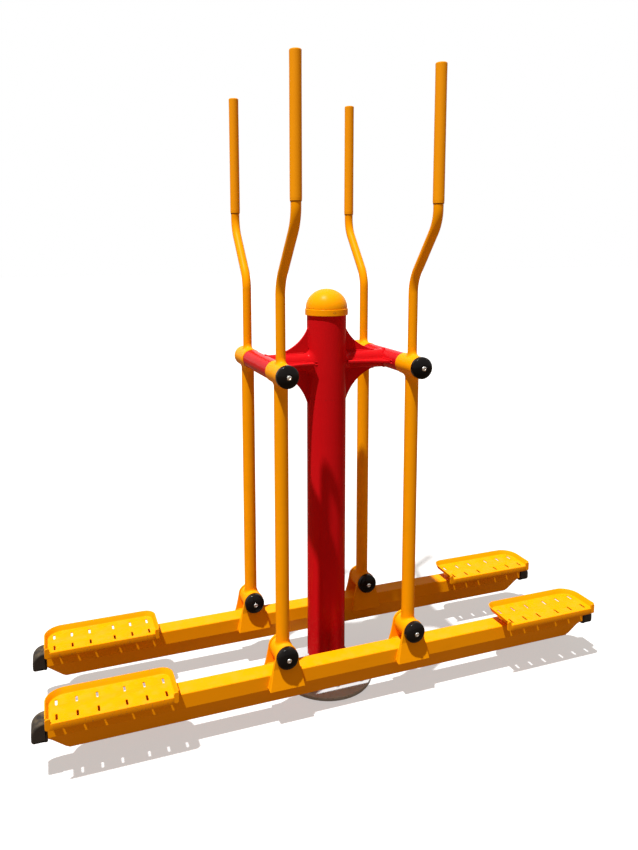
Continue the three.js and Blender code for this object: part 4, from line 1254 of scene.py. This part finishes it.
# %% Steel for the hidden nodes
for name, node in frame["nodes"].items():
    if "axle" in name or "bearing" in name:
        node.data.materials.clear()
        node.data.materials.append(bearing_steel)
print("steel nodes:", sum("axle" in name or "bearing" in name for name in frame["nodes"]))

# %% [markdown]
# ## Floor, light and camera
#
# The walker stands on a plain pale floor. The world is white for what the camera, gloss and glass
# see. For everything else it is dim and warm, as sunlit ground would tint the shaded sides. The
# floor is paler for the camera than for bounced light, so undersides keep their depth.

# %% Floor and world
floor_mesh = bpy.data.meshes.new("floor")
floor_mesh.from_pydata([(-40, -40, 0), (40, -40, 0), (40, 40, 0), (-40, 40, 0)], [], [(0, 1, 2, 3)])
floor = bpy.data.objects.new("floor", floor_mesh)
bpy.context.collection.objects.link(floor)


def seen_directly(tree):
    """1 for camera, glossy and transmission rays, 0 for the rest: the largest of the three flags."""
    path = step(tree, "ShaderNodeLightPath").outputs
    shiny = arithmetic(tree, "MAXIMUM", path["Is Glossy Ray"], path["Is Transmission Ray"])
    return arithmetic(tree, "MAXIMUM", path["Is Camera Ray"], shiny)


floor_material = bpy.data.materials.new("pale_floor")
floor_material.use_nodes = True
tree = floor_material.node_tree
in_view = step(tree, "ShaderNodeLightPath").outputs["Is Camera Ray"]
floor_shader = tree.nodes["Principled BSDF"].inputs
bounced_colour, seen_colour = (0.20, 0.14, 0.10), (0.5, 0.5, 0.5)
tree.links.new(mix(tree, in_view, bounced_colour, seen_colour), floor_shader["Base Color"])
tree.links.new(product(tree, in_view, 0.45), floor_shader["Emission Strength"])
floor_shader["Emission Color"].default_value = (1, 1, 1, 1)
floor_shader["Roughness"].default_value = 1.0
floor_shader["Specular IOR Level"].default_value = 0.0
floor_mesh.materials.append(floor_material)

world = bpy.data.worlds.new("studio")
bpy.context.scene.world = world
world.use_nodes = True
tree = world.node_tree
backdrop, in_view = tree.nodes["Background"].inputs, seen_directly(tree)
warm, white = (1.0, 0.74, 0.52), (1.0, 1.0, 1.0)
tree.links.new(mix(tree, in_view, warm, white), backdrop["Color"])
tree.links.new(between(tree, in_view, 0.30, 1.0), backdrop["Strength"])
bpy.context.scene.view_settings.view_transform = "Standard"

# %% [markdown]
# One high sun gives the shapes. Its direction comes from the picture's own shading: 70 degrees
# high, and 58 degrees round from the front towards the left.

# %% Lamp
def sun_lamp(name, direction, strength, softness):
    """A far lamp that shines along a direction, with the sun's width in degrees as its softness."""
    lamp = bpy.data.lights.new(name, "SUN")
    lamp.energy, lamp.angle = strength, math.radians(softness)
    holder = bpy.data.objects.new(name, lamp)
    d = np.array(direction, float)
    d = d / np.linalg.norm(d)
    side_way = np.cross(d, (0, 0, 1))
    side_way = side_way / np.linalg.norm(side_way)
    up_way = np.cross(side_way, d)
    holder.matrix_world = Matrix(np.array([side_way, up_way, -d]).T.tolist()).to_4x4()
    bpy.context.collection.objects.link(holder)
    return holder


sun_lamp("key", direction=(0.290, 0.181, -0.940), strength=5.25, softness=1.5)
print("lamps:", len(bpy.data.lights))

# %% [markdown]
# The camera stands in front and to the left, a little below head height, with a wide lens. Its
# place, turn and lens come from matching the walker's known sizes to the picture's points: the
# focal length and the point that the lens looks at are in pixels of a 638 by 850 picture.

# %% Camera
camera_data = bpy.data.cameras.new("camera")
camera = bpy.data.objects.new("camera", camera_data)
bpy.context.collection.objects.link(camera)
picture_width, picture_height, focal_length, sensor = 638, 850, 694.88, 36
centre_x, centre_y = 284.61, 340.01
camera_place = (-0.855, -2.069, 1.446)
yaw, pitch, roll = math.radians(18.98), math.radians(7.31), 0.0063
forward = np.array([math.sin(yaw) * math.cos(pitch), math.cos(yaw) * math.cos(pitch), -math.sin(pitch)])
level_right = np.array([math.cos(yaw), -math.sin(yaw), 0])
level_down = np.cross(forward, level_right)
right = math.cos(roll) * level_right + math.sin(roll) * level_down
down = math.cos(roll) * level_down - math.sin(roll) * level_right
turn = Matrix(np.array([right, -down, -forward]).T.tolist()).to_4x4()
camera.matrix_world = Matrix.Translation(camera_place) @ turn
camera_data.sensor_width, camera_data.lens = sensor, focal_length / picture_height * sensor
camera_data.shift_x = (picture_width / 2 - centre_x) / picture_height
camera_data.shift_y = (centre_y - picture_height / 2) / picture_height
bpy.context.scene.camera = camera
print("camera at", [round(c, 3) for c in camera.location])

# %% Count the pieces
print("pieces made:", len(made_names))
